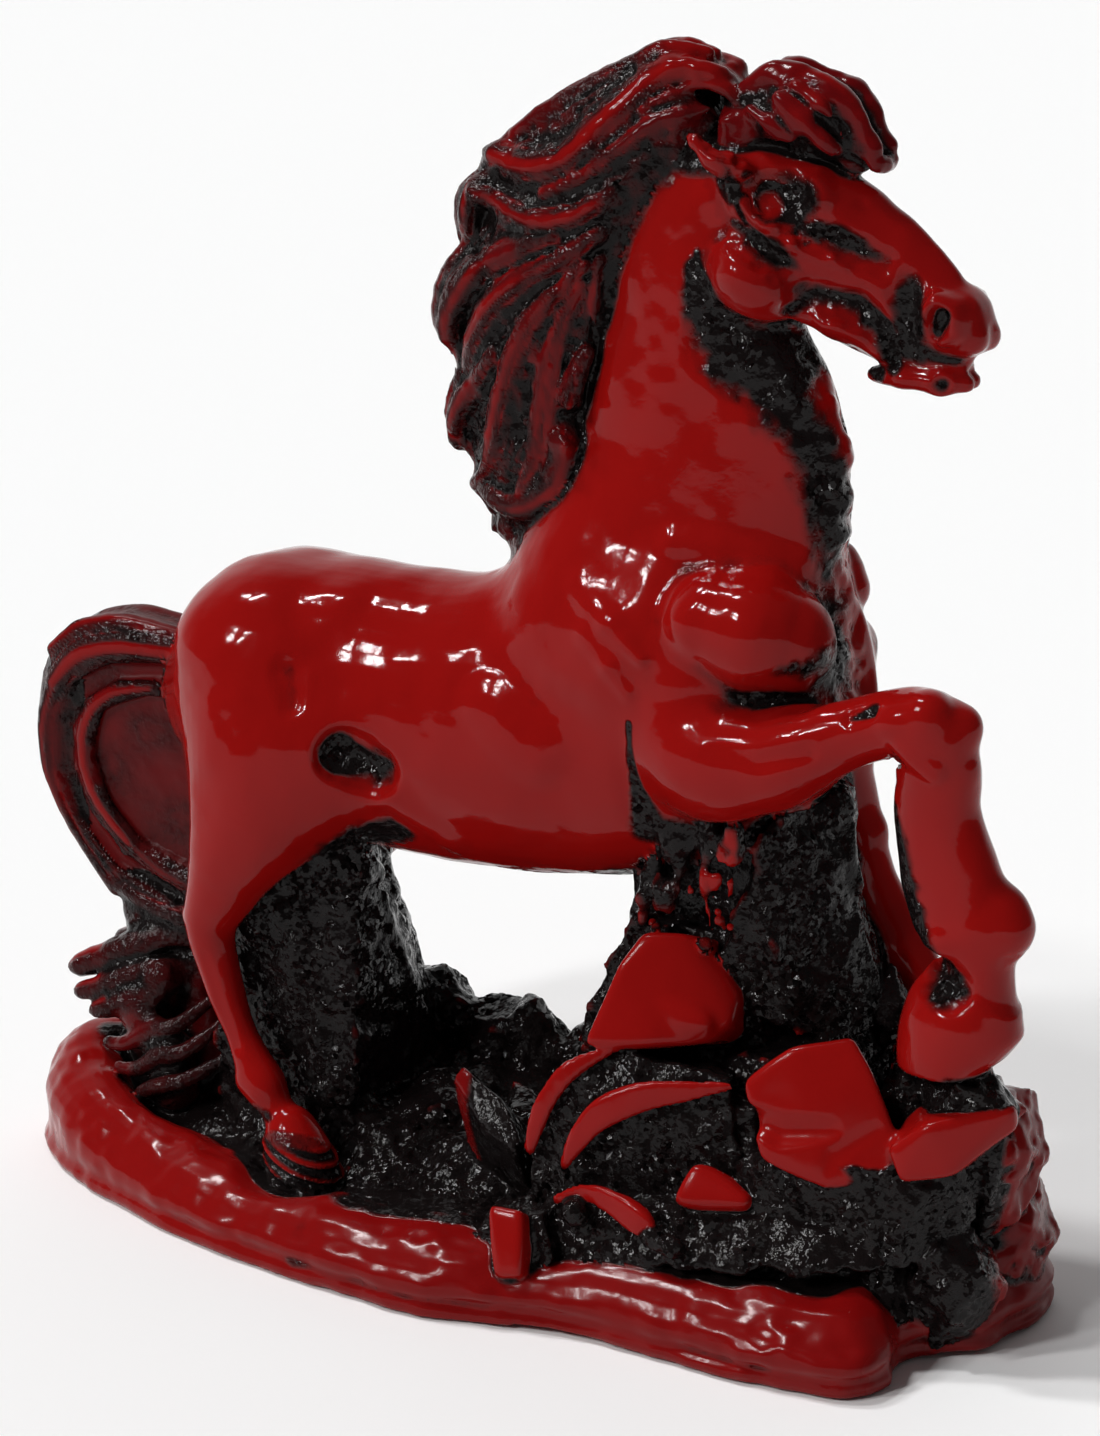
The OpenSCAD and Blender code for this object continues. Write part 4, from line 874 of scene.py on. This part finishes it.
leg_bumps = {
    "right_foreleg": [
        [55.4, -14.4, 78.4, 3], [58.4, -12, 76.4, 3], [52, -14.6, 77, 2.6], [59, -13, 71.6, 2],
        [64, -12, 55.6, 3.4], [64.4, -12, 53, 3.6], [58, -14, 51.6, 2.6],
    ],
    "left_foreleg": [[38.6, 12, 54, 2.4]],
    "right_hind_leg": [[-43, -14, 38.4, 1.4], [-34, -16.2, 18, 1.8]],
    "left_hind_leg": [[-38.6, 13, 38.4, 1.4], [-36.4, 13, 17.4, 1.8]],
}
ring_pitch, ring_depth = 1.6, 0.34
for name, rows in leg_rows.items():
    leg = lofted(rows, reach=5)
    for ball in leg_bumps[name]:
        leg.add(mass([ball]), 1.6)
    if "hind" in name:
        x, y, z = leg.places()
        rings = np.cos(2 * np.pi * (z + 0.35 * x) / ring_pitch)
        leg.depth += ring_depth * rings * (1 - fade(z, 11, 12.5))
    castings[name] = leg


# The castings are filled at the seams and painted as one, so one skin is drawn over all of
# them and then shared out again, each face to the casting it lies on.
names = list(castings)
whole = Clay(clay_low, clay_low + clay_shape * GRAIN)
nearest = whole.depth.copy()
owner = np.zeros(clay_shape, np.uint8)
for i, name in enumerate(names):
    form = castings[name]
    at = whole.window(form.start, form.end)
    owner[at][form.depth < nearest[at]] = i
    nearest[at] = np.minimum(nearest[at], form.depth)
for name, blend in (("torso", 0), ("neck", 7), ("head", 1.5), ("right_foreleg", 1.8), ("left_foreleg", 4),
                    ("right_hind_leg", 4), ("left_hind_leg", 4)):
    whole.add(castings[name], blend)
for blend, balls in breasts:
    whole.add(mass(balls), blend)
folds = [
    [1.5, [[17, -16.6, 71, 0.5], [17.6, -15.6, 65, 0.9], [18.4, -14, 59, 1.3]]],
    [1.2, [[29, -18, 77, 0.4], [34, -17, 77.6, 1], [39, -14, 78.4, 1.4], [43, -10, 79, 1.6]]],
]
for blend, balls in folds:
    for side in both(balls):
        whole.cut(mass(side), blend)
dimples = [
    [-2.6, [[-20.6, -14.8, 62.6, 3.8], [-16.4, -14.6, 61.2, 3.8]]],
    [-1.2, [[-20.4, -14.8, 64.4, 2.4], [-17.4, -14.6, 64.2, 2.4]]],
    [-0.6, [[-28, -14, 72, 3], [-27, -14.6, 68, 2.6]]],
    [0.6, [[22, -11, 93.4, 3], [29.7, -9.8, 92.4, 3.2], [36, -7, 91, 3]]],
    [-0.6, [[46.6, -15.6, 76.6, 1.4], [49, -15.6, 77.6, 1.4]]],
    [-1.7, [[56.4, -15, 48, 2], [58.8, -16, 47.2, 2.2], [60.6, -16.4, 46.6, 1.4]]],
    [-1, [[66, -15, 50.4, 1.2], [67.8, -13, 50.4, 1.2], [67.4, -10, 50.4, 1]]],
    [-1.2, [[-32.4, -19, 14.4, 1.6], [-31, -19.6, 14.8, 1.6]]],
    [0.7, [[-37.4, -18.4, 36, 1.4], [-36, -17.6, 30, 1.2], [-33.6, -17.8, 23.4, 1.1]]],
    [-0.6, [[-39.4, -17.4, 34, 1.2], [-37.4, -17.2, 28, 1.1], [-35, -17.4, 22.6, 1]]],
    [0.7, [[-1, -15, 72, 5], [6, -14.6, 66, 5]]],
    [-0.7, [[30, -18.6, 71.4, 1.8], [36, -18.4, 70.6, 2], [42, -17.4, 72.4, 1.6]]],
    [0.6, [[53, -17, 74, 2], [57, -16.8, 72, 2]]],
]
for height, rows in dimples:
    for side in both(rows):
        whole.press(height, side)
whole.roughen(8, 0.7, 20).roughen(3.8, 0.26, 21).roughen(1.9, 0.09, 29)
pits = [
    [[-19.8, -14.6, 62.4, 2.2], [-16.4, -14.4, 61, 2]],
    [[56.6, -15, 47.8, 1.4], [59.6, -16.2, 46.8, 1.2]],
]
for balls in pits:
    whole.roughen(2.4, 1.2, 26, near=mass(balls), over=2.4)
    whole.roughen(1.2, 1.2, 39, near=mass(balls), over=1.8)
whole.roughen(2.2, 0.9, 13, near=mass(throat_crest)).roughen(1.2, 0.5, 14, near=mass(throat_crest))
for name, blend in (("mane", 0.6), ("forelock", 0.5), ("tail", 0.6), ("plinth", 0.5), ("rear_rocks", 0.5),
                    ("rock_pillar", 0.5), ("front_outcrop", 0.4)):
    whole.add(castings[name], blend)
clearance = 0.02
for axis, place in enumerate(whole.places()):
    low, high = (corner[axis] / MM - figure_shift[axis] for corner in cad_box)
    if axis == 2:
        low = max(low, felt_proud)
    whole.depth = np.maximum(whole.depth, np.maximum(low - place, place - high) + clearance)
whole.depth = np.clip(whole.depth, -REACH, REACH)
volume = vdb.FloatGrid(REACH)
volume.copyFromArray(whole.depth, ijk=(0, 0, 0))
points, quads = volume.convertToQuads(0.0)
points = points.astype(np.float64)
quads = quads.astype(int)
filled = np.clip(0.5 - whole.depth / GRAIN, 0, 1)
crease_fine = sampled(blurred(filled, 0.8), points) - 0.5
crease_wide = sampled(blurred(filled, 2.4), points) - 0.5
slopes = np.stack([(sampled(whole.depth, points + step) - sampled(whole.depth, points - step))
                   for step in np.eye(3)], 1)
normals = slopes / np.maximum(np.linalg.norm(slopes, axis=1, keepdims=True), 1e-6)
owners = owner[tuple(np.clip(np.round(points).astype(int), 0, clay_shape - 1).T)]
figure = points * GRAIN + clay_low
placed = (figure + figure_shift) * MM
face_owner = owners[quads[:, 0]]


# The paint is a red lacquer wiped with black: the black stays in every hollow, on the rocks and in the
# hair, and is rubbed off the crests. A black stroke under the belly is painted shade, and one down the
# back of the raised foreleg is partly painted shade. Wash is how much black lies on a point, painted
# shade included, tone is how far the red goes to wine, and dull is how much of the gloss is lost.
def inside(form):
    """Depth of the skin's points in a form."""
    return sampled(np.pad(form.depth, 1, constant_values=FAR), points - form.start + 1)


def stroke(rows, side_on=1.0, soft=(0.4, 1.7)):
    """How much of a brush stroke lies on each point. A row is x, y, z and radius. A stroke made
    side on counts only this share of the distance in y."""
    across = (figure * [1, side_on, 1]).T
    best = np.full(len(figure), FAR)
    for a, b in stretches(np.asarray(rows, float) * [1, side_on, 1, 1]):
        distance, radius = off_line(a, b, *across)
        best = np.minimum(best, distance / radius)
    return 1 - fade(best, *soft)


def is_in(*which):
    return np.isin(owners, [names.index(n) for n in which])


rubbed_strokes = [
    [[30.8, -5.8, 132.4, 1.2], [31.4, -5.8, 131.6, 1.2]],
    [[21.4, -8, 139.6, 0.9], [23.6, -8.4, 138.4, 1.3], [26, -7.8, 136.4, 1.4]],
    [[28.6, -7.4, 132.4, 0.7], [29.2, -7.6, 130.6, 0.8], [31.4, -7.8, 129.5, 0.8],
     [34, -7.4, 129.9, 0.7]],
    [[37.6, -5.4, 119.4, 1.6], [42, -4.4, 117.4, 1.5]],
]
face_strokes = [
    [[27, -7, 115.4, 2], [31, -5.4, 116, 2.4], [35, -4, 114.6, 3], [38, -2.4, 114.4, 2.6]],
    [[51.8, -5.4, 120.9, 1], [50.8, -5.4, 119, 0.9]],
    [[47, -5, 124, 1.5], [47.2, -5, 120.6, 2.2], [47, -4.8, 116.6, 2.1], [51, -4.6, 115.7, 1],
     [55, -3.4, 115.3, 0.8]],
    [[33.6, -6.4, 120, 0.8], [36.4, -6.2, 122.2, 1.3], [41.6, -5.2, 121.2, 1.4], [45, -4.6, 117.6, 1.6],
     [45.4, -4, 115, 1.3]],
    [[29.6, -7.6, 135, 1], [32.8, -7.4, 135.2, 1.5], [35, -6.8, 133, 1.9], [34.4, -6.8, 131, 1.6],
     [31.6, -7, 129.9, 0.9], [28.6, -7, 130.4, 0.8], [28, -7, 132.6, 0.9]],
    [[35.6, -4, 116.6, 1], [40, -3, 114.8, 1], [43.6, -2, 113.4, 0.9]],
    [[27, -8, 129.9, 0.8], [30.8, -8.4, 128, 1.4], [33.2, -8.2, 126.4, 1.4], [35.2, -7.8, 125, 0.8]],
    [[35, -6.8, 130, 1], [38.4, -6.2, 129, 1.5], [41.4, -5.6, 127.5, 1.4], [44.4, -4.8, 126.3, 0.8]],
    [[51.4, -4, 112.9, 0.9]],
    [[25, -7, 139, 0.9], [31, -7, 139.3, 1.2], [35.8, -6, 138.7, 1.4], [39, -4.8, 137.3, 1.4],
     [42, -2.6, 135.7, 1.1]],
    [[22.6, -8, 124.6, 1.4], [23.4, -8, 121, 2.4], [25.6, -8, 117, 3], [29, -7, 115, 3],
     [33, -6, 112.6, 3.2]],
    [[9, -7, 133.4, 3], [14, -6.4, 135, 3.2], [18, -6.6, 137.2, 3.2], [22, -6.6, 137.4, 2.6],
     [25.4, -6.6, 136, 1.8], [26.8, -7, 133, 1.2]],
]
throat_strokes = [
    [[26, -6, 114.6, 3.4], [31, -6, 111.6, 4.2], [35.4, -4.6, 107, 4.4], [38, -3.6, 101, 4.2],
     [39.6, -3, 95, 4], [40, -3, 90, 3.6], [39.4, -4.6, 84, 4], [40, -6, 79, 5]],
]
# Black strokes on the trunk and legs. Most follow grooves, pits and hollows, but the belly stroke is
# painted shade and the foreleg strip is partly painted shade.
body_wash_and_shade_strokes = [
    [[-15, -10, 53.4, 2.4], [-25, -9, 50, 4], [-34, -9, 46, 4]],
    # Painted shade: a dark band along the belly's underside.
    [[-12, 0, 45.4, 5], [4, 0, 46.4, 5], [16, 0, 48, 7]],
    [[18.6, -15, 72, 0.5], [19, -13.6, 64, 1], [20, -12, 58, 2.6], [26, -10, 57, 3]],
    [[31, -17.4, 77, 0.5], [36, -16.4, 78.4, 1.6], [41, -13.4, 80, 2.8], [44, -8, 79.6, 3.4]],
    # Partly painted shade: the dark strip down the back edge of the raised foreleg from the knee, ending in
    # the black of the hollow at its foot.
    [[51.4, -13, 66, 1.4], [51.8, -14, 61, 2.2], [53, -14.6, 55, 2.6], [56, -15.2, 49, 2.6],
     [58.6, -15.6, 46.8, 2.6]],
    [[65.6, -15, 50.4, 0.5], [67.8, -13, 50.4, 0.7], [67.4, -10, 50.4, 0.7]],
    [[55, -13, 36, 2], [60, -17, 35, 1.6], [66, -12, 35, 1.6]],
    [[46, -15, 76.2, 0.4], [49.4, -15.2, 77.8, 0.9]],
    [[-35, -18, 14.4, 1.8], [-31.4, -19.4, 14.4, 1.7], [-30, -19, 15, 1]],
    [[-39.6, -17.6, 33.6, 0.4], [-37.4, -17.4, 28, 0.6], [-35, -17.6, 22.6, 0.5]],
    [[-20.6, -15, 63, 2.2], [-16.6, -14.8, 62, 2.2]],
]
hair = is_in("mane", "forelock", "tail")
stone = is_in("rock_pillar", "rear_rocks")
outcrop_part = is_in("front_outcrop")
rim = is_in("plinth")
body = ~(hair | stone | outcrop_part | rim)
x, y, z = figure.T
everywhere = whole.shared(whole)[2]
mottle, speckle = (sampled(lumps(everywhere, size, seed), points) for size, seed in ((5.5, 41), (1.3, 42)))
rubbed = sampled(crest, points)
sunk = fade(-sampled(relief, points), 0.4, 1.2)
wash_and_shade = np.zeros(len(points))
wash_and_shade[body] = (0.05 + 4 * crease_fine + 1.5 * crease_wide + 0.95 * sunk)[body]
hair_wash = 0.69 - 0.68 * fade(rubbed, 0.36, 0.78) - 0.25 * fade(mottle, 0.1, 0.6)
wash_and_shade[hair] = (hair_wash + 2 * np.maximum(crease_fine, -0.03))[hair]
wash_and_shade[stone] = (1.05 + 2 * crease_fine)[stone]
for rows in pillar_drips:
    front = stroke([[px, py - radius, pz, 0.8] for px, py, pz, radius in rows])
    wash_and_shade = np.where(is_in("rock_pillar"), wash_and_shade - 0.6 * front * fade(mottle, -0.3, 0.3), wash_and_shade)
bare = fade(inside(dark_stone) - inside(red_stone), -0.2, 0.9)
joints = 4 * np.maximum(crease_fine - 0.02, 0) + 3 * np.maximum(crease_wide - 0.06, 0)
wash_and_shade[outcrop_part] = (1.0 - 0.97 * bare + joints)[outcrop_part]
near_tail = 4.6 * fade(-x, 24, 40) * (1 - fade(-x, 58, 66)) * (y < 0)
on_rim = fade(inside(ground) + near_tail + 1.2 * mottle, -1.2, 0.8)
rim_wash = 0.06 + 0.1 * mottle + 0.98 * (1 - on_rim) + 0.3 * fade(mottle, 0.45, 0.9)
wash_and_shade[rim] = (rim_wash + 4 * crease_fine + 1.2 * crease_wide)[rim]
near_side = 1 - fade(y, 0, 3)
far_side = 1 - near_side
for strokes, side_on, soft, far_share in ((face_strokes, 0.4, (0.4, 1.7), far_side),
                                          (throat_strokes, 1, (0, 1.6), far_side * fade(z, 89, 93)),
                                          (body_wash_and_shade_strokes, 1, (0.4, 1.7), far_side)):
    for rows in strokes:
        mark, far_mark = (stroke(side, side_on, soft) for side in both(rows))
        mark = mark * near_side + far_mark * far_share
        ragged = 0.95 * mark + 1.2 * speckle * mark * (1 - mark)
        wash_and_shade = np.where(body, np.maximum(wash_and_shade, ragged), wash_and_shade)
for rows in rubbed_strokes:
    for side in both(rows):
        mark = stroke(side, 0.4) * (y * side[0][1] > 0)
        wash_and_shade = np.where(body, np.minimum(wash_and_shade, 1 - 0.75 * mark), wash_and_shade)
tone = np.where(hair, 0.9 - 0.75 * fade(rubbed, 0.4, 0.85), 0.0)
tuft = is_in("forelock")
tuft_rub = 0.2 * fade(z, 139, 142) + 0.1 * fade(mottle, -0.3, 0.3) - 3 * crease_fine
wash_and_shade[tuft] = (wash_and_shade - tuft_rub)[tuft]
crown = is_in("mane") * fade(z, 142, 146) * fade(x, 12, 19)
wash_and_shade = wash_and_shade * (1 - 0.6 * crown)
tone = tone * (1 - 0.5 * crown)
end = np.where(rim, fade(x - 0.2 * y, 57, 62), fade(0.89 * x + 0.45 * y + 1.5 * mottle, 51, 55.5))
end = end * (1 - fade(z, 22, 27) * (y < -10))
worn = np.where(rim | outcrop_part, end, 0)
worn_wash = 0.14 + 0.26 * mottle + 4.5 * crease_fine + 1.8 * crease_wide
wash_and_shade = np.where(worn > 0, wash_and_shade * (1 - worn) + worn * worn_wash, wash_and_shade)
rim_tone = (0.22 + 0.2 * fade(x, -45, 0)) * rim
tone = np.where(rim | outcrop_part, np.maximum(0.5 * end, rim_tone), tone)
tone[is_in("head")] = 0.22
leaf_part = outcrop_part & (inside(leaf) < 0.4)
wash_and_shade[leaf_part] = (0.3 + 0.7 * fade(x, -3.6, -1.4))[leaf_part]
tone[leaf_part] = 0.5
panel = is_in("tail") & (x > -66) & (z > 38) & (np.abs(y) < 3.2)
wash_and_shade[panel] = np.minimum(wash_and_shade[panel], 0.42 + 0.2 * mottle[panel])
tone[panel] = 0.85
dull = 0.06 * rim + 0.08 * outcrop_part * bare + 0.25 * panel + 0.12 * worn


class Socket:
    """A value in a node tree, with the sums that are used on it."""

    def __init__(self, tree, out=None):
        self.tree = tree
        self.out = out

    def fill(self, node, **inputs):
        """Sets or links a node's sockets. A socket goes by its name, or by its number after an i."""
        for key, value in inputs.items():
            socket = node.inputs[int(key[1:]) if key[1:].isdigit() else key.replace("_", " ")]
            if isinstance(value, Socket):
                self.tree.links.new(value.out, socket)
            else:
                socket.default_value = value

    def node(self, kind, settings=None, out=0, **inputs):
        """Adds a node, with its settings and then its sockets, and gives one of its outputs."""
        made = self.tree.nodes.new(kind)
        for key, value in (settings or {}).items():
            setattr(made, key, value)
        self.fill(made, **inputs)
        return Socket(self.tree, made.outputs[out])

    def sum(self, operation, a, b):
        return self.node("ShaderNodeMath", {"operation": operation}, i0=a, i1=b)

    def __add__(self, other):
        return self.sum("ADD", self, other)

    def __radd__(self, other):
        return self.sum("ADD", other, self)

    def __sub__(self, other):
        return self.sum("SUBTRACT", self, other)

    def __rsub__(self, other):
        return self.sum("SUBTRACT", other, self)

    def __mul__(self, other):
        return self.sum("MULTIPLY", self, other)

    def __rmul__(self, other):
        return self.sum("MULTIPLY", other, self)


def finish(name):
    """A new material, with the start of its node tree and its shader."""
    made = bpy.data.materials.new(name)
    made.use_nodes = True
    return made, Socket(made.node_tree), made.node_tree.nodes["Principled BSDF"]


lacquer, paint, lacquer_shader = finish("lacquer")
wash_and_shade_mark, tone_mark, dull_mark = (paint.node("ShaderNodeAttribute", {"attribute_name": key}, out=2)
                                   for key in ("wash_and_shade", "tone", "dull"))
spot = paint.node("ShaderNodeTexCoord", out="Object")
fine = paint.node("ShaderNodeTexNoise", Vector=spot, Scale=1050.0, Detail=3.0)
broad = paint.node("ShaderNodeTexNoise", Vector=spot, Scale=220.0, Detail=4.0)
black = paint.node("ShaderNodeMapRange", {"interpolation_type": "SMOOTHSTEP"},
                   Value=wash_and_shade_mark + (fine - 0.5) * 0.14 + (broad - 0.5) * 0.3, From_Min=0.18, From_Max=0.8)
red = paint.node("ShaderNodeMix", {"data_type": "RGBA"}, out=2, i0=tone_mark,
                 i6=(0.24, 0.0036, 0.003, 1), i7=(0.085, 0.002, 0.003, 1))
colour = paint.node("ShaderNodeMix", {"data_type": "RGBA"}, out=2, i0=black,
                    i6=red, i7=(0.006, 0.004, 0.004, 1))
waves = fine * (black * black * 0.8 + 0.05) + broad * (black * black * 1.7 + 0.14)
wavy = paint.node("ShaderNodeBump", Height=waves, Distance=0.0005, Strength=0.6)
grainy = paint.node("ShaderNodeMapRange", Value=broad, From_Min=0.42, From_Max=0.62, To_Min=0.1, To_Max=1.4)
grit = paint.node("ShaderNodeTexVoronoi", out="Color", Vector=spot, Scale=1600.0)
tilt = paint.node("ShaderNodeVectorMath", {"operation": "SUBTRACT"}, i0=grit, i1=(0.5, 0.5, 0.5))
tilt = paint.node("ShaderNodeVectorMath", {"operation": "SCALE"}, i0=tilt,
                  Scale=black * black * grainy * (1 - tone_mark * 0.5))
facing = paint.node("ShaderNodeVectorMath", {"operation": "ADD"}, i0=wavy, i1=tilt)
facing = paint.node("ShaderNodeVectorMath", {"operation": "NORMALIZE"}, i0=facing)
paint.fill(lacquer_shader, Base_Color=colour, Roughness=tone_mark * 0.07 + dull_mark + 0.08, Normal=facing,
           IOR=1.25)
hair_lacquer = lacquer.copy()
hair_lacquer.name = "hair_lacquer"
hair_lacquer.node_tree.nodes["Principled BSDF"].inputs["IOR"].default_value = 1.22

slots = {s["node"]: s["material_slot"] for s in frame["record"]["subparts"]}
for i, name in enumerate(names):
    faces = quads[face_owner == i]
    used, index = np.unique(faces, return_inverse=True)
    mesh = bpy.data.meshes.new(name + "_casting")
    mesh.from_pydata(placed[used].tolist(), [], index.reshape(-1, 4).tolist())
    mesh.polygons.foreach_set("use_smooth", np.ones(len(mesh.polygons), bool))
    mesh.normals_split_custom_set_from_vertices(normals[used].tolist())
    for key, values in (("wash_and_shade", wash_and_shade), ("tone", tone), ("dull", dull)):
        mark = mesh.attributes.new(key, "FLOAT", "POINT")
        mark.data.foreach_set("value", values[used].astype(np.float32))
    mesh.materials.append(hair_lacquer if name in ("mane", "forelock", "tail") else lacquer)
    piece = bpy.data.objects.new(name + "_casting", mesh)
    bpy.context.scene.collection.objects.link(piece)
    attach(piece, "root")
    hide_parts(name)


# A pad of green felt is glued in a recess under the plinth, and drawn steel pins and dowels
# hold the castings together inside. These keep the shapes of the frame.
felt, nap, felt_shader = finish("felt")
fibre = nap.node("ShaderNodeTexNoise", Vector=nap.node("ShaderNodeTexCoord", out="Object"),
                 Scale=1800.0, Detail=4.0)
green = nap.node("ShaderNodeMix", {"data_type": "RGBA"}, out=2, i0=fibre,
                 i6=(0.006, 0.03, 0.014, 1), i7=(0.02, 0.08, 0.04, 1))
nap.fill(felt_shader, Base_Color=green, Roughness=0.95)
steel, drawn, steel_shader = finish("steel")
scuff = drawn.node("ShaderNodeTexNoise", Vector=drawn.node("ShaderNodeTexCoord", out="Object"),
                   Scale=700.0, Detail=3.0)
drawn.fill(steel_shader, Base_Color=(0.5, 0.5, 0.52, 1), Metallic=1.0, Roughness=scuff * 0.25 + 0.22)
for name, slot in slots.items():
    if name not in names:
        node = frame["nodes"][name]
        node.data.materials.clear()
        node.data.materials.append({"felt": felt, "steel": steel}[slot])


# A white sheet runs under and far behind the statue. The room is dark on the viewer's side,
# and two banks of four lamps, high on the left, light it.
scene = bpy.context.scene
bpy.ops.mesh.primitive_plane_add(size=12)
floor = bpy.context.object
floor.name = "floor"
paper, sheet, paper_shader = finish("paper")
sheet.fill(paper_shader, Base_Color=(0.96, 0.96, 0.96, 1), Roughness=1.0, Specular_IOR_Level=0.0)
floor.data.materials.append(paper)

view_azimuth, view_elevation, view_distance = math.radians(27), math.radians(16), 0.43
back = Vector((math.sin(view_azimuth) * math.cos(view_elevation),
               -math.cos(view_azimuth) * math.cos(view_elevation), math.sin(view_elevation)))
world = bpy.data.worlds.new("room")
scene.world = world
world.use_nodes = True
sky = Socket(world.node_tree)
outlook = sky.node("ShaderNodeTexCoord", out="Generated")
behind = sky.node("ShaderNodeVectorMath", {"operation": "DOT_PRODUCT"}, out="Value",
                  i0=outlook, i1=(-back.x, -back.y, -0.2))
pale = sky.node("ShaderNodeMapRange", {"interpolation_type": "SMOOTHSTEP"}, Value=behind,
                From_Min=0.1, From_Max=0.7, To_Min=0.09, To_Max=0.9)
sky.fill(world.node_tree.nodes["Background"], Strength=pale, Color=(1, 1, 1, 1))


def lamp(name, towards, angle, strength):
    light = bpy.data.lights.new(name, "SUN")
    light.angle = math.radians(angle)
    light.energy = strength
    made = bpy.data.objects.new(name, light)
    made.rotation_euler = Vector(towards).to_track_quat("Z", "Y").to_euler()
    scene.collection.objects.link(made)


lamp_angle, lamp_strength = 4, 0.42
for name, towards in (("front", (-0.44, -0.69, 0.58)), ("top", (-0.44, -0.09, 0.88))):
    for i, (u, v) in enumerate(((-1, -1), (1, -1), (-1, 1), (1, 1))):
        shift = Vector((0.09 * u, -0.05 * u, 0.07 * v))
        lamp(f"{name}_lamp_{i + 1}", Vector(towards) + shift, lamp_angle, lamp_strength)

picture_width, picture_height = 1100, 1436
centre_pixel = (545, 672.9)
aim = Vector((figure_shift[0], figure_shift[1], 72)) * MM
camera = bpy.data.objects.new("camera", bpy.data.cameras.new("camera"))
camera.location = aim + view_distance * back
camera.rotation_euler = back.to_track_quat("Z", "Y").to_euler()
camera.data.sensor_fit = "VERTICAL"
camera.data.sensor_height = 36
camera.data.lens = 88.33
camera.data.clip_start = 0.01
camera.data.shift_x = (picture_width / 2 - centre_pixel[0]) / picture_height
camera.data.shift_y = (centre_pixel[1] - picture_height / 2) / picture_height
scene.collection.objects.link(camera)
scene.camera = camera
scene.view_settings.view_transform = "Standard"
